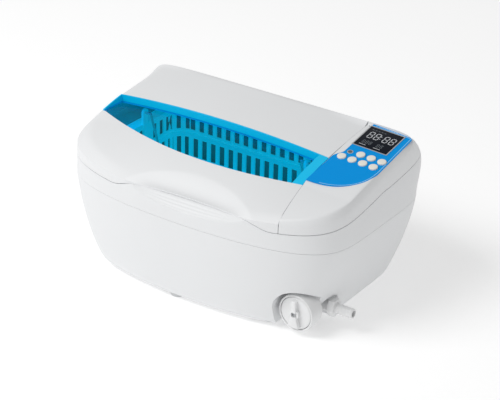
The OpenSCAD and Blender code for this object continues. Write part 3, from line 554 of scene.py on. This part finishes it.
def make_lower_housing():
    levels = np.linspace(FLOOR_Z + 1.2, PART_Z - 0.9, 40)
    rings = [ring_at(z) for z in levels]
    rings += [ring_at(PART_Z - 0.25, 0.08), ring_at(PART_Z - 0.12, 0.3), ring_at(PART_Z - 0.12, WALL)]
    rings += [ring_at(z, WALL) for z in levels[::-1][1:-2]]
    rings += [ring_at(FLOOR_Z + WALL, WALL + 1), ring_at(FLOOR_Z + WALL, 22), ring_at(FLOOR_Z, 22)]
    rings += [ring_at(FLOOR_Z, 1.6), ring_at(FLOOR_Z + 0.35, 0.5)]
    shell = ring_solid("lower_housing_shell", rings, wrap=True)
    cut(shell, pocket_cutter(0, POCKET_Y))
    cut(shell, notch_cutter(0))
    walls = ring_solid("walls", [ring_at(z, 0.3) for z in np.linspace(FLOOR_Z, PART_Z - 1, 20)])
    keep(walls, add(pocket_cutter(2, POCKET_Y + 2), notch_cutter(2)))
    keep(walls, block("limit", (100, -140, FLOOR_Z), (190, -56, 76)))
    cut(walls, pocket_cutter(0, POCKET_Y))
    cut(walls, notch_cutter(0))
    cut(walls, rod("neck_hole", 8.5, -POCKET_Y - 13, -POCKET_Y + 1, "-Y", (VALVE[0], 0, VALVE[2])))
    cut(walls, rod("body_hole", 12.5, NOTCH_X - 8, NOTCH_X + 6, "X", (0, VALVE[1], VALVE[2])))
    add(shell, walls)
    cut(shell, inlet_cutter(51, 26, 100, 160))
    pad = ring_solid("pad", [ring_at(z, 0.3) for z in np.linspace(FLOOR_Z, PART_Z - 1, 20)])
    keep(pad, inlet_cutter(55, 30, 128.7, 160))
    cut(pad, inlet_cutter(51, 26, 131.2, 170))
    cut(pad, inlet_cutter(28, 24, 100, 160))
    add(shell, pad)
    for a in range(-110, 11, 12):
        for z in (70, 78, 86):
            cut(shell, block("vent", (a - 4, 110, z), (a + 4, 150, z + 3)))
    for x, y in FOOT_SPOTS:
        cut(shell, rod("foot_hole", 3.1, 0, 20, "Z", (x, y, 0), 24))
    for x, y in SCREW_SPOTS:
        cut(shell, rod("screw_hole", 4, 0, 20, "Z", (x, y, 0), 24))
    return finish_piece(shell, WHITE, "housing", "lower_housing")


FOOT_SPOTS = [(x, y) for x in (-104, 104) for y in (-98, 98)] + [(-14, y) for y in (-115, 115)]
SCREW_SPOTS = [(-135, -88), (-135, 90), (135, 92), (92, -108)]
HINGE_Y, HINGE_Z, HINGE_X, KNUCKLE = 116.5, 163.0, (-85.0, 45.0), 14.0
BARREL_R = 4.0


def scoop_push(z):
    """How far the front wall is pushed in by the scoop at height z under the lip."""
    x = plan_x(T)
    g = grip(x)
    top = seam(T)
    v = ramp(z, top - 1 - SCOOP_H * g ** 0.7, top - 1)
    ribs = 0.22 * np.sin(v * 9 * math.pi) * (v > 0.04) * (v < 0.8)
    depth = SCOOP_IN * g ** 0.8
    return np.where((plan_y(T) < 0) & (g > 0), depth * v ** 0.9 + ribs * g, 0)


def make_upper_housing():
    edge = seam(T) - np.where(plan_y(T) < 0, 1.1 * grip(plan_x(T)), 0)
    low = PART_Z + 0.12
    shares = np.linspace(0, 1, 56)
    outer, inner = [], []
    for k in shares:
        z = low + 0.6 + (edge - 0.6 - low - 0.6) * k
        push = scoop_push(z)
        outer.append(ring_at(z, 0, push))
        inner.append(ring_at(z, WALL, push))
    top_push = scoop_push(edge)
    rings = [ring_at(low, 0.3), ring_at(low + 0.12, 0.08)] + outer
    rings += [ring_at(edge - 0.15, 0.12, top_push), ring_at(edge, 0.6, top_push), ring_at(edge, WALL, top_push)]
    rings += inner[::-1][1:-1]
    rings += [ring_at(low - 2.6, WALL + 0.02), ring_at(low - 2.6, 1.2), ring_at(low, 1.2)]
    band = ring_solid("upper_housing_shell", rings, wrap=True)
    deck = prism("deck", plan_ring(DECK_Z, WALL - 0.5), DECK_Z - WALL, DECK_Z)
    trim = prism("trim", plan_ring(DECK_Z, WALL - 1), DECK_Z - WALL - 1, DECK_Z + 1)
    cut(trim, prism("inside", plan_ring(DECK_Z, PLINTH), 100, 200))
    cut(trim, block("back", (-FAR, -68, 0), (FAR, FAR, FAR)))
    cut(deck, trim)
    wall = prism("plinth", plan_ring(DECK_Z, PLINTH), 116, DECK_Z)
    cut(wall, prism("hollow", plan_ring(DECK_Z, PLINTH + WALL), 0, 300))
    cut(wall, block("back", (-FAR, -40, 0), (FAR, FAR, FAR)))
    gutter = prism("gutter", plan_ring(116, WALL - 0.5), 116, 116 + WALL)
    cut(gutter, prism("hollow", plan_ring(116, PLINTH + WALL), 0, 300))
    cut(gutter, block("back", (-FAR, -40, 0), (FAR, FAR, FAR)))
    for part in (wall, gutter):
        add(deck, part)
    opening = rounded_plate("opening", 255, 141, 32, -30, 3, DECK_Z - 5, DECK_Z + 5)
    cut(deck, opening)
    cut(deck, block("cable", (137, -35.6, 130), (157, -29.6, 145)))
    for x, y in SCREW_SPOTS:
        boss = lathe("boss", [(2, 10.6), (4.5, 10.6), (4.5, DECK_Z - 1.2), (2, DECK_Z - 1.2)], "Z", (x, y, 0), 32)
        add(deck, boss)
    add(band, deck)
    for x in HINGE_X:
        for side in (-1, 1):
            x0 = x + side * KNUCKLE * 1.08 - KNUCKLE / 2
            ear = rod("ear", BARREL_R, x0, x0 + KNUCKLE, "X", (0, HINGE_Y, HINGE_Z), 40)
            add(ear, block("web", (x0, HINGE_Y - 2, HINGE_Z - 24), (x0 + KNUCKLE, HINGE_Y + 3, HINGE_Z)))
            add(ear, block("root", (x0, HINGE_Y - 8, HINGE_Z - 28), (x0 + KNUCKLE, HINGE_Y + 3, HINGE_Z - 16)))
            add(band, ear)
        cut(band, rod("pin_hole", 2.05, x - 40, x + 40, "X", (0, HINGE_Y, HINGE_Z), 32))
        room = KNUCKLE / 2 + GAP
        cut(band, block("room", (x - room, HINGE_Y - 15, HINGE_Z - 9), (x + room, HINGE_Y + 21, HINGE_Z + 15)))
    return finish_piece(band, WHITE, "housing", "upper_housing")


def rounded_plate(name, length, width, radius, cx, cy, z0, z1, steps=16):
    a = np.linspace(0, math.pi / 2, steps)
    outline = []
    for q, (sx, sy) in enumerate(((1, 1), (-1, 1), (-1, -1), (1, -1))):
        for v in a + q * math.pi / 2:
            outline.append((cx + sx * (length / 2 - radius) + radius * math.cos(v),
                            cy + sy * (width / 2 - radius) + radius * math.sin(v)))
    return prism(name, outline, z0, z1)


def cap_core(name, inset, pod):
    """Solid under the top skin, down to the seam: the CAD's construction at a finer pitch."""
    drop = 1.0 if inset else -0.55
    shares = np.concatenate([1 - np.linspace(0, 1, 26) ** 1.5 * 0.3, np.linspace(0.68, 0.06, 24)])
    z_crease = crease(T)
    bottom = seam(T) - drop
    rings = []
    for k in (0.0, 0.35, 0.7):
        z = bottom + (z_crease - bottom) * k
        edge = 0.35 if (k == 0 and inset == 0) else 0
        rings.append(ring_at(z, inset + edge))
        if k == 0 and inset == 0:
            rings.append(ring_at(z + 0.35, inset))
    rx, ry = skin(T, z_crease, inset)
    top = pod_top if pod else lid_top
    z_rim = top(rx, ry)
    for f in shares:
        x, y = f * rx, CAP_MID[1] + f * (ry - CAP_MID[1])
        s = ramp(f, 0.975 if pod else 0.9, 1) ** 2
        rings.append(np.stack([x, y, top(x, y) - s * (z_rim - z_crease) - inset], -1))
    rings = np.array(rings)
    if not pod:
        push_dish(rings)
    top_mid = (0, CAP_MID[1], float(top(0.0, CAP_MID[1])) - inset)
    foot = (0, CAP_MID[1], 148.4 - drop)
    return ring_solid(name, rings, start=foot, end=top_mid)


def push_dish(rings):
    """Presses the dish of the finger grip into the lid's rings, and the lip with it."""
    x, y = rings[..., 0], rings[..., 1]
    d = dish(x, y)
    rings[..., 2] -= DISH_DEPTH * d * (1 - smooth(y, -118, -136) * 0.6)
    side = (y < -100)
    rings[..., 1] += np.where(side, LIP_IN * d ** 1.4, 0)


WINDOW_X, WINDOW_BACK = (-178.0, 117.0), -11.0


def window_front(x):
    return -83.5 + 0.00064 * np.abs(x + 3) ** 2.12


def window_outline(grow, x_end, steps=60):
    xs = np.linspace(WINDOW_X[0] - grow, x_end, steps)
    front = [(x, window_front(x) - grow) for x in xs]
    return front + [(x_end, WINDOW_BACK + grow), (WINDOW_X[0] - grow, WINDOW_BACK + grow)]


def make_lid():
    shell = keep(cap_core("lid_shell_skin", 0, False), lid_side(GAP))
    cut(shell, keep(cap_core("hollow", WALL, False), lid_side(GAP + WALL)))
    cut(shell, prism("window", window_outline(0, SPLIT_X + 20), 152, 220))
    cut(shell, deck_block(GAP))
    for x in HINGE_X:
        knuckle = rod("knuckle", BARREL_R, x - KNUCKLE / 2, x + KNUCKLE / 2, "X", (0, HINGE_Y, HINGE_Z), 40)
        arm = block("arm", (x - KNUCKLE / 2, HINGE_Y - 14, HINGE_Z - 0.5), (x + KNUCKLE / 2, HINGE_Y, HINGE_Z + 4))
        add(knuckle, arm)
        add(shell, knuckle)
        cut(shell, rod("pin_hole", 2.05, x - 40, x + 40, "X", (0, HINGE_Y, HINGE_Z), 32))
    return finish_piece(shell, WHITE, "lid", "lid_shell")


PANE_DEPTH = 8.6
LAND_X = 109.0


def make_window():
    """Tray-shaped lens: flush at the front edge, sunk at the back, with a flat land by the pod."""
    x0, x1 = WINDOW_X[0] + 0.2, SPLIT_X - GAP
    wall_step, wall_t = 0.5, 1.8
    xs = np.unique(np.concatenate([[x0, x0 + wall_t, x0 + wall_t + wall_step], np.linspace(x0 + 4, LAND_X - 1, 70),
                                   [LAND_X, LAND_X + wall_step, (LAND_X + x1) / 2, x1]]))
    vs = np.unique(np.concatenate([np.linspace(0, 0.94, 30), [0.972, 0.979, 1.0]]))
    rows_top, rows_low = [], []
    for v in vs:
        front, back = window_front(xs) + 0.2, WINDOW_BACK - 0.2
        y = front + v * (back - front)
        surface = lid_top(xs, y)
        sunk = 0.5 + (PANE_DEPTH - 0.5) * v
        raised = (xs <= x0 + wall_t + 0.01) | (xs >= LAND_X + wall_step - 0.01) | (v > 0.975)
        pane = surface - sunk
        rows_top.append(np.stack([xs, y, np.where(raised, surface - 0.25, pane)], -1))
        rows_low.append(np.stack([xs, y, pane - 2.2], -1))
    top, low = np.array(rows_top), np.array(rows_low)
    n, m = top.shape[:2]
    points = list(top.reshape(-1, 3)) + list(low.reshape(-1, 3))
    faces, is_rim = [], []

    def at(j, i, side):
        return side * n * m + j * m + i

    raised = top[..., 2] - low[..., 2] > 2.3
    for j in range(n - 1):
        for i in range(m - 1):
            rim = raised[j, i] or raised[j + 1, i] or raised[j, i + 1] or raised[j + 1, i + 1]
            for side in (0, 1):
                loop = [at(j, i, side), at(j, i + 1, side), at(j + 1, i + 1, side), at(j + 1, i, side)]
                faces.append(tuple(loop if side == 0 else reversed(loop)))
                is_rim.append(rim)
    border = [(0, i) for i in range(m)] + [(j, m - 1) for j in range(1, n)]
    border += [(n - 1, i) for i in range(m - 2, -1, -1)] + [(j, 0) for j in range(n - 2, 0, -1)]
    for a, b in zip(border, border[1:] + border[:1]):
        faces.append((at(*a, 1), at(*b, 1), at(*b, 0), at(*a, 0)))
        is_rim.append(True)
    lens = new_mesh("lid_window_lens", points, faces)
    shade(lens, 40)
    lens.data.materials.append(PANE)
    lens.data.materials.append(RIM_BLUE)
    lens.data.polygons.foreach_set("material_index", [int(r) for r in is_rim])
    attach(lens, "lid")
    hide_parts("lid_window")
    return lens


# ---- Control pod ----
POD_AT = np.array([150.0, 30.0, 181.6])
FACE = (Matrix.Translation(Vector(POD_AT) * MM)
        @ Matrix.Rotation(math.atan(0.045), 4, "Y") @ Matrix.Rotation(math.atan(0.17), 4, "X"))
FASCIA_MID, FASCIA_RX, FASCIA_RY = (-26.0, -35.0), 61.5, 55.0
DISPLAY_AT, DISPLAY_SIZE = (2.0, 17.5), (45.0, 42.0)
LOW_KEYS = [(-17.5 + 14 * k, -31.6) for k in range(4)]
HIGH_KEYS = [(14 * (k - 0.02), -18.1) for k in range(3)]
LIGHT_AT = (-14.0, -18.8)


def on_face(obj):
    obj.data.transform(FACE)
    return obj


def fascia_outline(grow):
    points = []
    for a in np.radians(np.arange(-90, 1, 3)):
        points.append((FASCIA_MID[0] + (FASCIA_RX + grow) * spow(math.cos(a), 2 / 2.3),
                       FASCIA_MID[1] + (FASCIA_RY + grow) * spow(math.sin(a), 2 / 2.3)))
    points += [(33.5 + grow, 39), (30 + grow, 41.5 + grow), (FASCIA_MID[0] + 5.5 - grow, 43.5 + grow)]
    # The left edge steps out to the split in front of the display
    for s in np.linspace(0, 1, 9):
        points.append((FASCIA_MID[0] + 5.5 - 7.0 * smooth(s, 0, 1) - grow, -20 - 16 * s))
    points.append((FASCIA_MID[0] - 1.5 - grow, FASCIA_MID[1] - FASCIA_RY - grow))
    return points


def make_pod():
    shell = keep(cap_core("control_pod_skin", 0, True), pod_side(GAP))
    cut(shell, keep(cap_core("hollow", WALL + 1, True), pod_side(GAP + WALL)))
    strip = prism("strip", plan_ring(DECK_Z, PLINTH), DECK_Z, 150)
    keep(strip, pod_side(GAP))
    cut(strip, pod_side(GAP + WALL))
    keep(strip, block("limit", (0, -95, 0), (FAR, 90, FAR)))
    add(shell, strip)
    cut(shell, deck_block(0))
    cut(shell, on_face(prism("recess", fascia_outline(0.2), -1.2, 30)))
    w, h = DISPLAY_SIZE
    x, y = DISPLAY_AT
    cut(shell, on_face(block("display", (x - w / 2 - 0.3, y - h / 2 - 0.3, -20), (x + w / 2 + 0.3, y + h / 2 + 0.3, 20))))
    for px, py in LOW_KEYS + HIGH_KEYS:
        hole = lathe("key_hole", [(0, -20), (6.3, -20), (6.3, -4.4), (5.6, -4.4), (5.6, 10), (0, 10)],
                     "Z", (px, py, 0), 32, closed=False)
        cut(shell, on_face(hole))
    cut(shell, on_face(rod("lamp_hole", 2.7, -20, 10, "Z", (*LIGHT_AT, 0), 24)))
    return finish_piece(shell, WHITE, "housing", "control_pod")


def make_fascia():
    panel = on_face(prism("control_fascia_panel", fascia_outline(0), -1.2, 0))
    w, h = DISPLAY_SIZE
    x, y = DISPLAY_AT
    cut(panel, on_face(block("display", (x - w / 2 - 0.2, y - h / 2 - 0.2, -9), (x + w / 2 + 0.2, y + h / 2 + 0.2, 9))))
    for px, py in LOW_KEYS + HIGH_KEYS:
        cut(panel, on_face(rod("key_hole", 5.5, -9, 10, "Z", (px, py, 0), 48)))
    cut(panel, on_face(rod("lamp_hole", 2.6, -9, 10, "Z", (*LIGHT_AT, 0), 24)))
    return finish_piece(panel, PANEL, "housing", "control_fascia")


KEY_NODES = ["key_power", "key_heat", "key_degas", "key_drain", "key_minus", "key_plus", "key_start"]


def make_keys():
    for name, (x, y) in zip(KEY_NODES, LOW_KEYS + HIGH_KEYS):
        profile = [(0, -6.8), (1.7, -6.8), (1.7, -5.6), (5.9, -5.6), (5.9, -4.6), (5.3, -4.6), (5.3, 1.0),
                   (5.15, 1.35), (4.8, 1.6), (4.2, 1.75), (2.6, 1.88), (0, 1.95)]
        cap = on_face(lathe(name + "_cap", profile, "Z", (x, y, 0), 48, closed=False))
        finish_piece(cap, KEY, name, name, angle=50)


# ---- Basket: slots along the walls and round the corners, thin ribs between them ----
def boxes(name, spans):
    """Many separate boxes in one mesh. A span is its centre, its size and its turn about Z."""
    points, faces = [], []
    for (x, y, z), (l, w, h), turn_z in spans:
        k, c, q = len(points), math.cos(turn_z), math.sin(turn_z)
        for dz in (-h / 2, h / 2):
            for dx, dy in ((-l / 2, -w / 2), (l / 2, -w / 2), (l / 2, w / 2), (-l / 2, w / 2)):
                points.append((x + dx * c - dy * q, y + dx * q + dy * c, z + dz))
        faces += [(k + 3, k + 2, k + 1, k), (k + 4, k + 5, k + 6, k + 7)]
        faces += [(k + i, k + (i + 1) % 4, k + (i + 1) % 4 + 4, k + i + 4) for i in range(4)]
    return new_mesh(name, points, faces)


def make_basket():
    cx, cy, top, mid, low = -30.0, 3.0, 140.4, 110.4, 74.4

    def plate(step, z0, z1, hole=None):
        obj = rounded_plate("plate", 238 - 2 * step, 124 - 2 * step, 24 - step, cx, cy, z0, z1)
        if hole is not None:
            cut(obj, rounded_plate("hole", 238 - 2 * hole, 124 - 2 * hole, 24 - hole, cx, cy, z0 - 1, z1 + 1))
        return obj

    body = plate(0, mid, top + 2, 2)
    add(body, plate(3, low, mid + 2, 5))
    add(body, plate(0, mid, mid + 2, 5))
    add(body, plate(3, low, low + 2))
    add(body, plate(-13, top, top + 2, 2))
    for side in (-1, 1):
        x = cx + side * 118
        add(body, block("post", (x - 1.5, -8, mid), (x + 1.5, 2, 157)))
        add(body, rod("eye", 5, x - 1.5, x + 1.5, "X", (0, -3, 157), 40))
    high_z, low_z = (mid + 15, 20), (low + 19, 26)
    pitch, slots = 13.4, []
    for k in range(-7, 8):
        x = cx + k * pitch
        for side in (-1, 1):
            slots.append(((x, cy + side * 62, high_z[0]), (8, 12, high_z[1]), 0))
            if k < 7:
                slots.append(((x + pitch / 2, cy + side * 59, low_z[0]), (8, 12, low_z[1]), 0))
    for k in (-3, -2, -1, 1, 2, 3):
        for side in (-1, 1):
            slots.append(((cx + side * 116, cy + k * pitch, low_z[0]), (10, 8, low_z[1]), 0))
            slots.append(((cx + side * 119, cy + k * pitch, high_z[0]), (10, 8, high_z[1]), 0))
    for sx in (-1, 1):
        for sy in (-1, 1):
            for a in (16, 45, 74):
                q = math.atan2(sy * math.sin(math.radians(a)), sx * math.cos(math.radians(a)))
                for (z, h), reach in ((low_z, 20), (high_z, 22)):
                    at = (cx + sx * 95 + reach * math.cos(q), cy + sy * 38 + reach * math.sin(q), z)
                    slots.append((at, (8, 5.6, h), q))
    for k in range(-6, 7):
        slots.append(((cx + k * pitch, cy, low + 1), (6, 96, 6), 0))
    cut(body, boxes("slots", slots))
    ribs = []
    for k in range(-7, 7):
        for side in (-1, 1):
            ribs.append(((cx + (k + 0.5) * pitch, cy + side * 59.8, mid + 14), (1.4, 1.2, 26), 0))
    add(body, boxes("ribs", ribs))
    cut(body, rod("bail_hole", 1.55, -190, 130, "X", (0, -3, 157), 24))
    return finish_piece(body, BASKET, "basket", "basket")


def main():
    dress_cad_nodes()
    make_basket()
    make_lower_housing()
    make_upper_housing()
    make_lid()
    make_window()
    make_pod()
    make_fascia()
    make_keys()
    make_display()
    make_print()
    make_drain()
    make_studio()


GLOW = plastic("segment_ink", (0.62, 0.64, 0.67), roughness=0.6, grain=1)
DIM = plastic("segment_ink_dim", (0.16, 0.18, 0.20), roughness=0.6, grain=1)
SILVER = metal("display_frame_silver", (0.72, 0.73, 0.75), roughness=0.35, brush=(400, 20, 400))
PRINT = plastic("pale_print", (0.36, 0.68, 0.93), roughness=0.4, grain=1)
KEY_PRINT = plastic("key_print", (0.30, 0.33, 0.36), roughness=0.5, grain=1)


def bars(name, spans, z0, z1, material):
    """One piece made of thin bars that don't touch. A span is x0, y0, x1, y1 and a slant."""
    points, faces = [], []
    for x0, y0, x1, y1, slant in spans:
        k = len(points)
        for z in (z0, z1):
            points += [(x0 + slant * y0, y0, z), (x1 + slant * y0, y0, z),
                       (x1 + slant * y1, y1, z), (x0 + slant * y1, y1, z)]
        faces += [(k + 3, k + 2, k + 1, k), (k + 4, k + 5, k + 6, k + 7)]
        faces += [(k + i, k + (i + 1) % 4, k + (i + 1) % 4 + 4, k + i + 4) for i in range(4)]
    obj = on_face(new_mesh(name, points, faces))
    return finish_piece(obj, material, "housing")


def digit(x, y, w, h, t, slant=0.0):
    """The seven bars of an eight, with its lower left corner at x, y."""
    g, mid = t * 0.35, h / 2
    rows = [(x + t / 2 + g, y + v, x + w - t / 2 - g, y + v + t, slant) for v in (0, mid - t / 2, h - t)]
    cols = [(x + u, y + t + g + v, x + u + t, y + mid - t / 2 - g + v, slant)
            for u in (0, w - t) for v in (0, mid - t / 2)]
    return rows + cols


def make_display():
    w, h = DISPLAY_SIZE
    x, y = DISPLAY_AT
    body = on_face(block("display_module_glass", (x - w / 2, y - h / 2, -11.8), (x + w / 2, y + h / 2, 0.25), 0.3))
    finish_piece(body, SCREEN, "housing", "display_module")
    t = 0.8
    ring = on_face(block("display_frame", (x - w / 2 - t, y - h / 2 - t, 0.02), (x + w / 2 + t, y + h / 2 + t, 0.5)))
    cut(ring, on_face(block("hole", (x - w / 2 + 0.5, y - h / 2 + 0.5, -3), (x + w / 2 - 0.5, y + h / 2 - 0.5, 3))))
    finish_piece(ring, SILVER, "housing")
    big = []
    for dx in (-17.5, -9.0, 2.5, 11.0):
        big += digit(x + dx, y - 1.5, 6.2, 13.0, 0.95, 0.05)
    big += [(x - 0.9, y + 2.2, x + 0.2, y + 3.4, 0), (x - 0.9, y + 6.8, x + 0.2, y + 8.0, 0)]
    big += [(x - 17, y - 16.2, x - 8, y - 15.5, 0), (x + 2, y - 16.2, x + 11, y - 15.5, 0)]
    bars("display_digits", big, 0.2, 0.3, GLOW)
    small = []
    for dx in (-16.0, -11.6, -7.2, 3.0, 7.4):
        small += digit(x + dx, y - 13.2, 3.0, 6.4, 0.6, 0.05)
    small += [(x - 17.5 + 4 * k, y + 15.2, x - 15.2 + 4 * k, y + 16.1, 0) for k in range(5)]
    bars("display_small_digits", small, 0.2, 0.3, DIM)


def make_print():
    """Plain dashes on the panel and plain marks on the keys."""
    x, y = DISPLAY_AT
    marks = [(x - 18 + 3.4 * k, y + 23.6, x - 16 + 3.4 * k, y + 24.3, 0) for k in range(9)]
    marks += [(px - 2.6, py + 6.3, px + 2.6, py + 6.8, 0) for px, py in LOW_KEYS]
    bars("panel_marks", marks, -0.02, 0.06, PRINT)
    ring = lathe("indicator_ring", [(2.6, -0.6), (3.6, -0.6), (3.6, 0.28), (3.3, 0.4), (2.6, 0.4)], "Z", (*LIGHT_AT, 0), 40)
    finish_piece(on_face(ring), SILVER, "housing")
    loops = [[(px, py, h) for px, py in fascia_outline(grow)]
             for grow, h in ((-1.3, -0.4), (-1.3, 0.05), (-1.9, 0.05), (-1.9, -0.4))]
    edge = on_face(ring_solid("panel_edge_line", loops, wrap=True))
    cut(edge, on_face(block("left", (-60, -100, -9), (-12, 60, 9))))
    finish_piece(edge, PRINT, "housing")


KNOB_Y, KNOB_R = -112.0, 20.0


def make_drain():
    at = (VALVE[0], 0, VALVE[2])
    back, face = -(POCKET_Y - 0.1), -KNOB_Y
    bezel = lathe("knob_bezel_ring", [(KNOB_R + 0.4, back + 1), (KNOB_R + 0.4, face - 0.5), (KNOB_R + 0.8, face),
                                      (KNOB_R + 1.8, face), (KNOB_R + 2.4, face - 0.7), (KNOB_R + 2.5, back),
                                      (8.6, back), (8.6, back + 1)], "-Y", at, 96)
    finish_piece(bezel, WHITE_SMALL, "housing", "knob_bezel")
    disc = lathe("drain_knob_disc", [(0, face - 9), (KNOB_R - 1.2, face - 9), (KNOB_R, face - 8), (KNOB_R, face - 1.6),
                                     (KNOB_R - 0.5, face - 0.6), (KNOB_R - 1.6, face - 0.1), (KNOB_R - 3, face),
                                     (0, face)], "-Y", at, 96, closed=False)
    # Grip bar: narrow at the top, flaring to a broad foot at the bottom
    x, z = VALVE[0], VALVE[2]
    outline = [(-2.2, KNOB_R - 3.2), (2.2, KNOB_R - 3.2), (2.6, KNOB_R - 4), (2.8, 6), (3.2, 0), (4.2, -6), (5.8, -11),
               (7.4, -15), (6.6, -16.6), (-6.6, -16.6), (-7.4, -15), (-5.8, -11), (-4.2, -6), (-3.2, 0), (-2.8, 6),
               (-2.6, KNOB_R - 4)]
    bar = ring_solid("bar", [[(x + u, -depth, z + v) for u, v in outline] for depth in (face - 2, face + 5.3)])
    round_edges(bar, 0.9, 3)
    add(disc, bar)
    add(disc, rod("boss", 6, face - 14, face + 4, "-Y", at, 64))
    cut(disc, rod("socket", 3.05, face - 30, face - 4.9, "-Y", at, 40))
    cut(disc, rod("screw_hole", 1.6, face - 20, face + 20, "-Y", at, 32))
    cut(disc, rod("seat", 3.2, face + 0.6, face + 20, "-Y", at, 40))
    finish_piece(disc, WHITE_SMALL, "drain_valve", "drain_knob")
    make_outlet()


def make_outlet():
    x, y, z = VALVE
    tip, r = 201.3, 6.2
    profile = [(3.95, x + 26.6), (6.9, x + 26.6), (6.9, x + 31.2), (6.6, x + 31.6), (5.4, x + 31.8)]
    for k in (4, 3, 2, 1):
        a = tip - k * 4.4
        profile += [(5.5, a + 0.2), (r, a + 1.0), (r, a + 1.9), (5.6, a + 4.1)]
    profile += [(5.3, tip), (4.3, tip), (3.95, tip - 0.4)]
    barb = lathe("outlet_barb_body", profile, "X", (0, y, z), 64)
    finish_piece(barb, WHITE_SMALL, "housing", "outlet_barb")
    a = np.arange(6) * math.pi / 3
    flats = 11.5
    nut = ring_solid("outlet_nut_body", [[(v, y + flats * math.cos(q), z + flats * math.sin(q)) for q in a]
                                         for v in (x + 23, x + 31)])
    round_edges(nut, 0.8, 3)
    cut(nut, rod("thread", 7.0, x + 10, x + 40, "X", (0, y, z), 48))
    finish_piece(nut, WHITE_SMALL, "housing", "outlet_nut")


# ---- Studio ----
CAMERA_AZ, CAMERA_EL, CAMERA_ROLL = 33.8614, 26.8864, 1.3516
CAMERA_DIST, CAMERA_LENS = 2099.9, 127.9
CAMERA_TARGET = Vector((20.57, -19.57, 94.97))


def make_camera():
    az, el, roll = (math.radians(a) for a in (CAMERA_AZ, CAMERA_EL, CAMERA_ROLL))
    back = Vector((math.sin(az) * math.cos(el), -math.cos(az) * math.cos(el), math.sin(el)))
    right = Vector((math.cos(az), math.sin(az), 0))
    up = back.cross(right)
    right_r = right * math.cos(roll) + up * math.sin(roll)
    up_r = up * math.cos(roll) - right * math.sin(roll)
    cam = bpy.data.objects.new("camera", bpy.data.cameras.new("camera"))
    bpy.context.scene.collection.objects.link(cam)
    place = Matrix((right_r, up_r, back)).transposed().to_4x4()
    place.translation = (CAMERA_TARGET + back * CAMERA_DIST) * MM
    cam.matrix_world = place
    cam.data.lens = CAMERA_LENS
    cam.data.sensor_width = 36
    cam.data.clip_end = 20
    bpy.context.scene.camera = cam


def area_light(name, direction, distance, size, power):
    data = bpy.data.lights.new(name, "AREA")
    data.energy = power
    data.size = size
    light = bpy.data.objects.new(name, data)
    bpy.context.scene.collection.objects.link(light)
    aim = Vector(direction).normalized()
    light.location = aim * distance + Vector((0, 0, 0.1))
    light.rotation_euler = aim.to_track_quat("Z", "Y").to_euler()


def make_studio():
    make_camera()
    floor = new_mesh("floor", [(-6000, -6000, 0), (6000, -6000, 0), (6000, 6000, 0), (-6000, 6000, 0)], [(0, 1, 2, 3)])
    mat, tree, shader = node_material("studio_floor")
    shader.inputs["Base Color"].default_value = (0.8, 0.8, 0.8, 1)
    shader.inputs["Roughness"].default_value = 0.9
    shader.inputs["Emission Color"].default_value = (1, 1, 1, 1)
    shader.inputs["Emission Strength"].default_value = 0.34
    floor.data.materials.append(mat)
    world = bpy.data.worlds.new("studio")
    world.use_nodes = True
    world.node_tree.nodes["Background"].inputs["Color"].default_value = (1, 1, 1, 1)
    world.node_tree.nodes["Background"].inputs["Strength"].default_value = 0.50
    bpy.context.scene.world = world
    area_light("key", (-0.39, -0.51, 0.77), 2.6, 1.4, 34)
    scene = bpy.context.scene
    scene.view_settings.view_transform = "Standard"
    scene.view_settings.look = "None"


main()
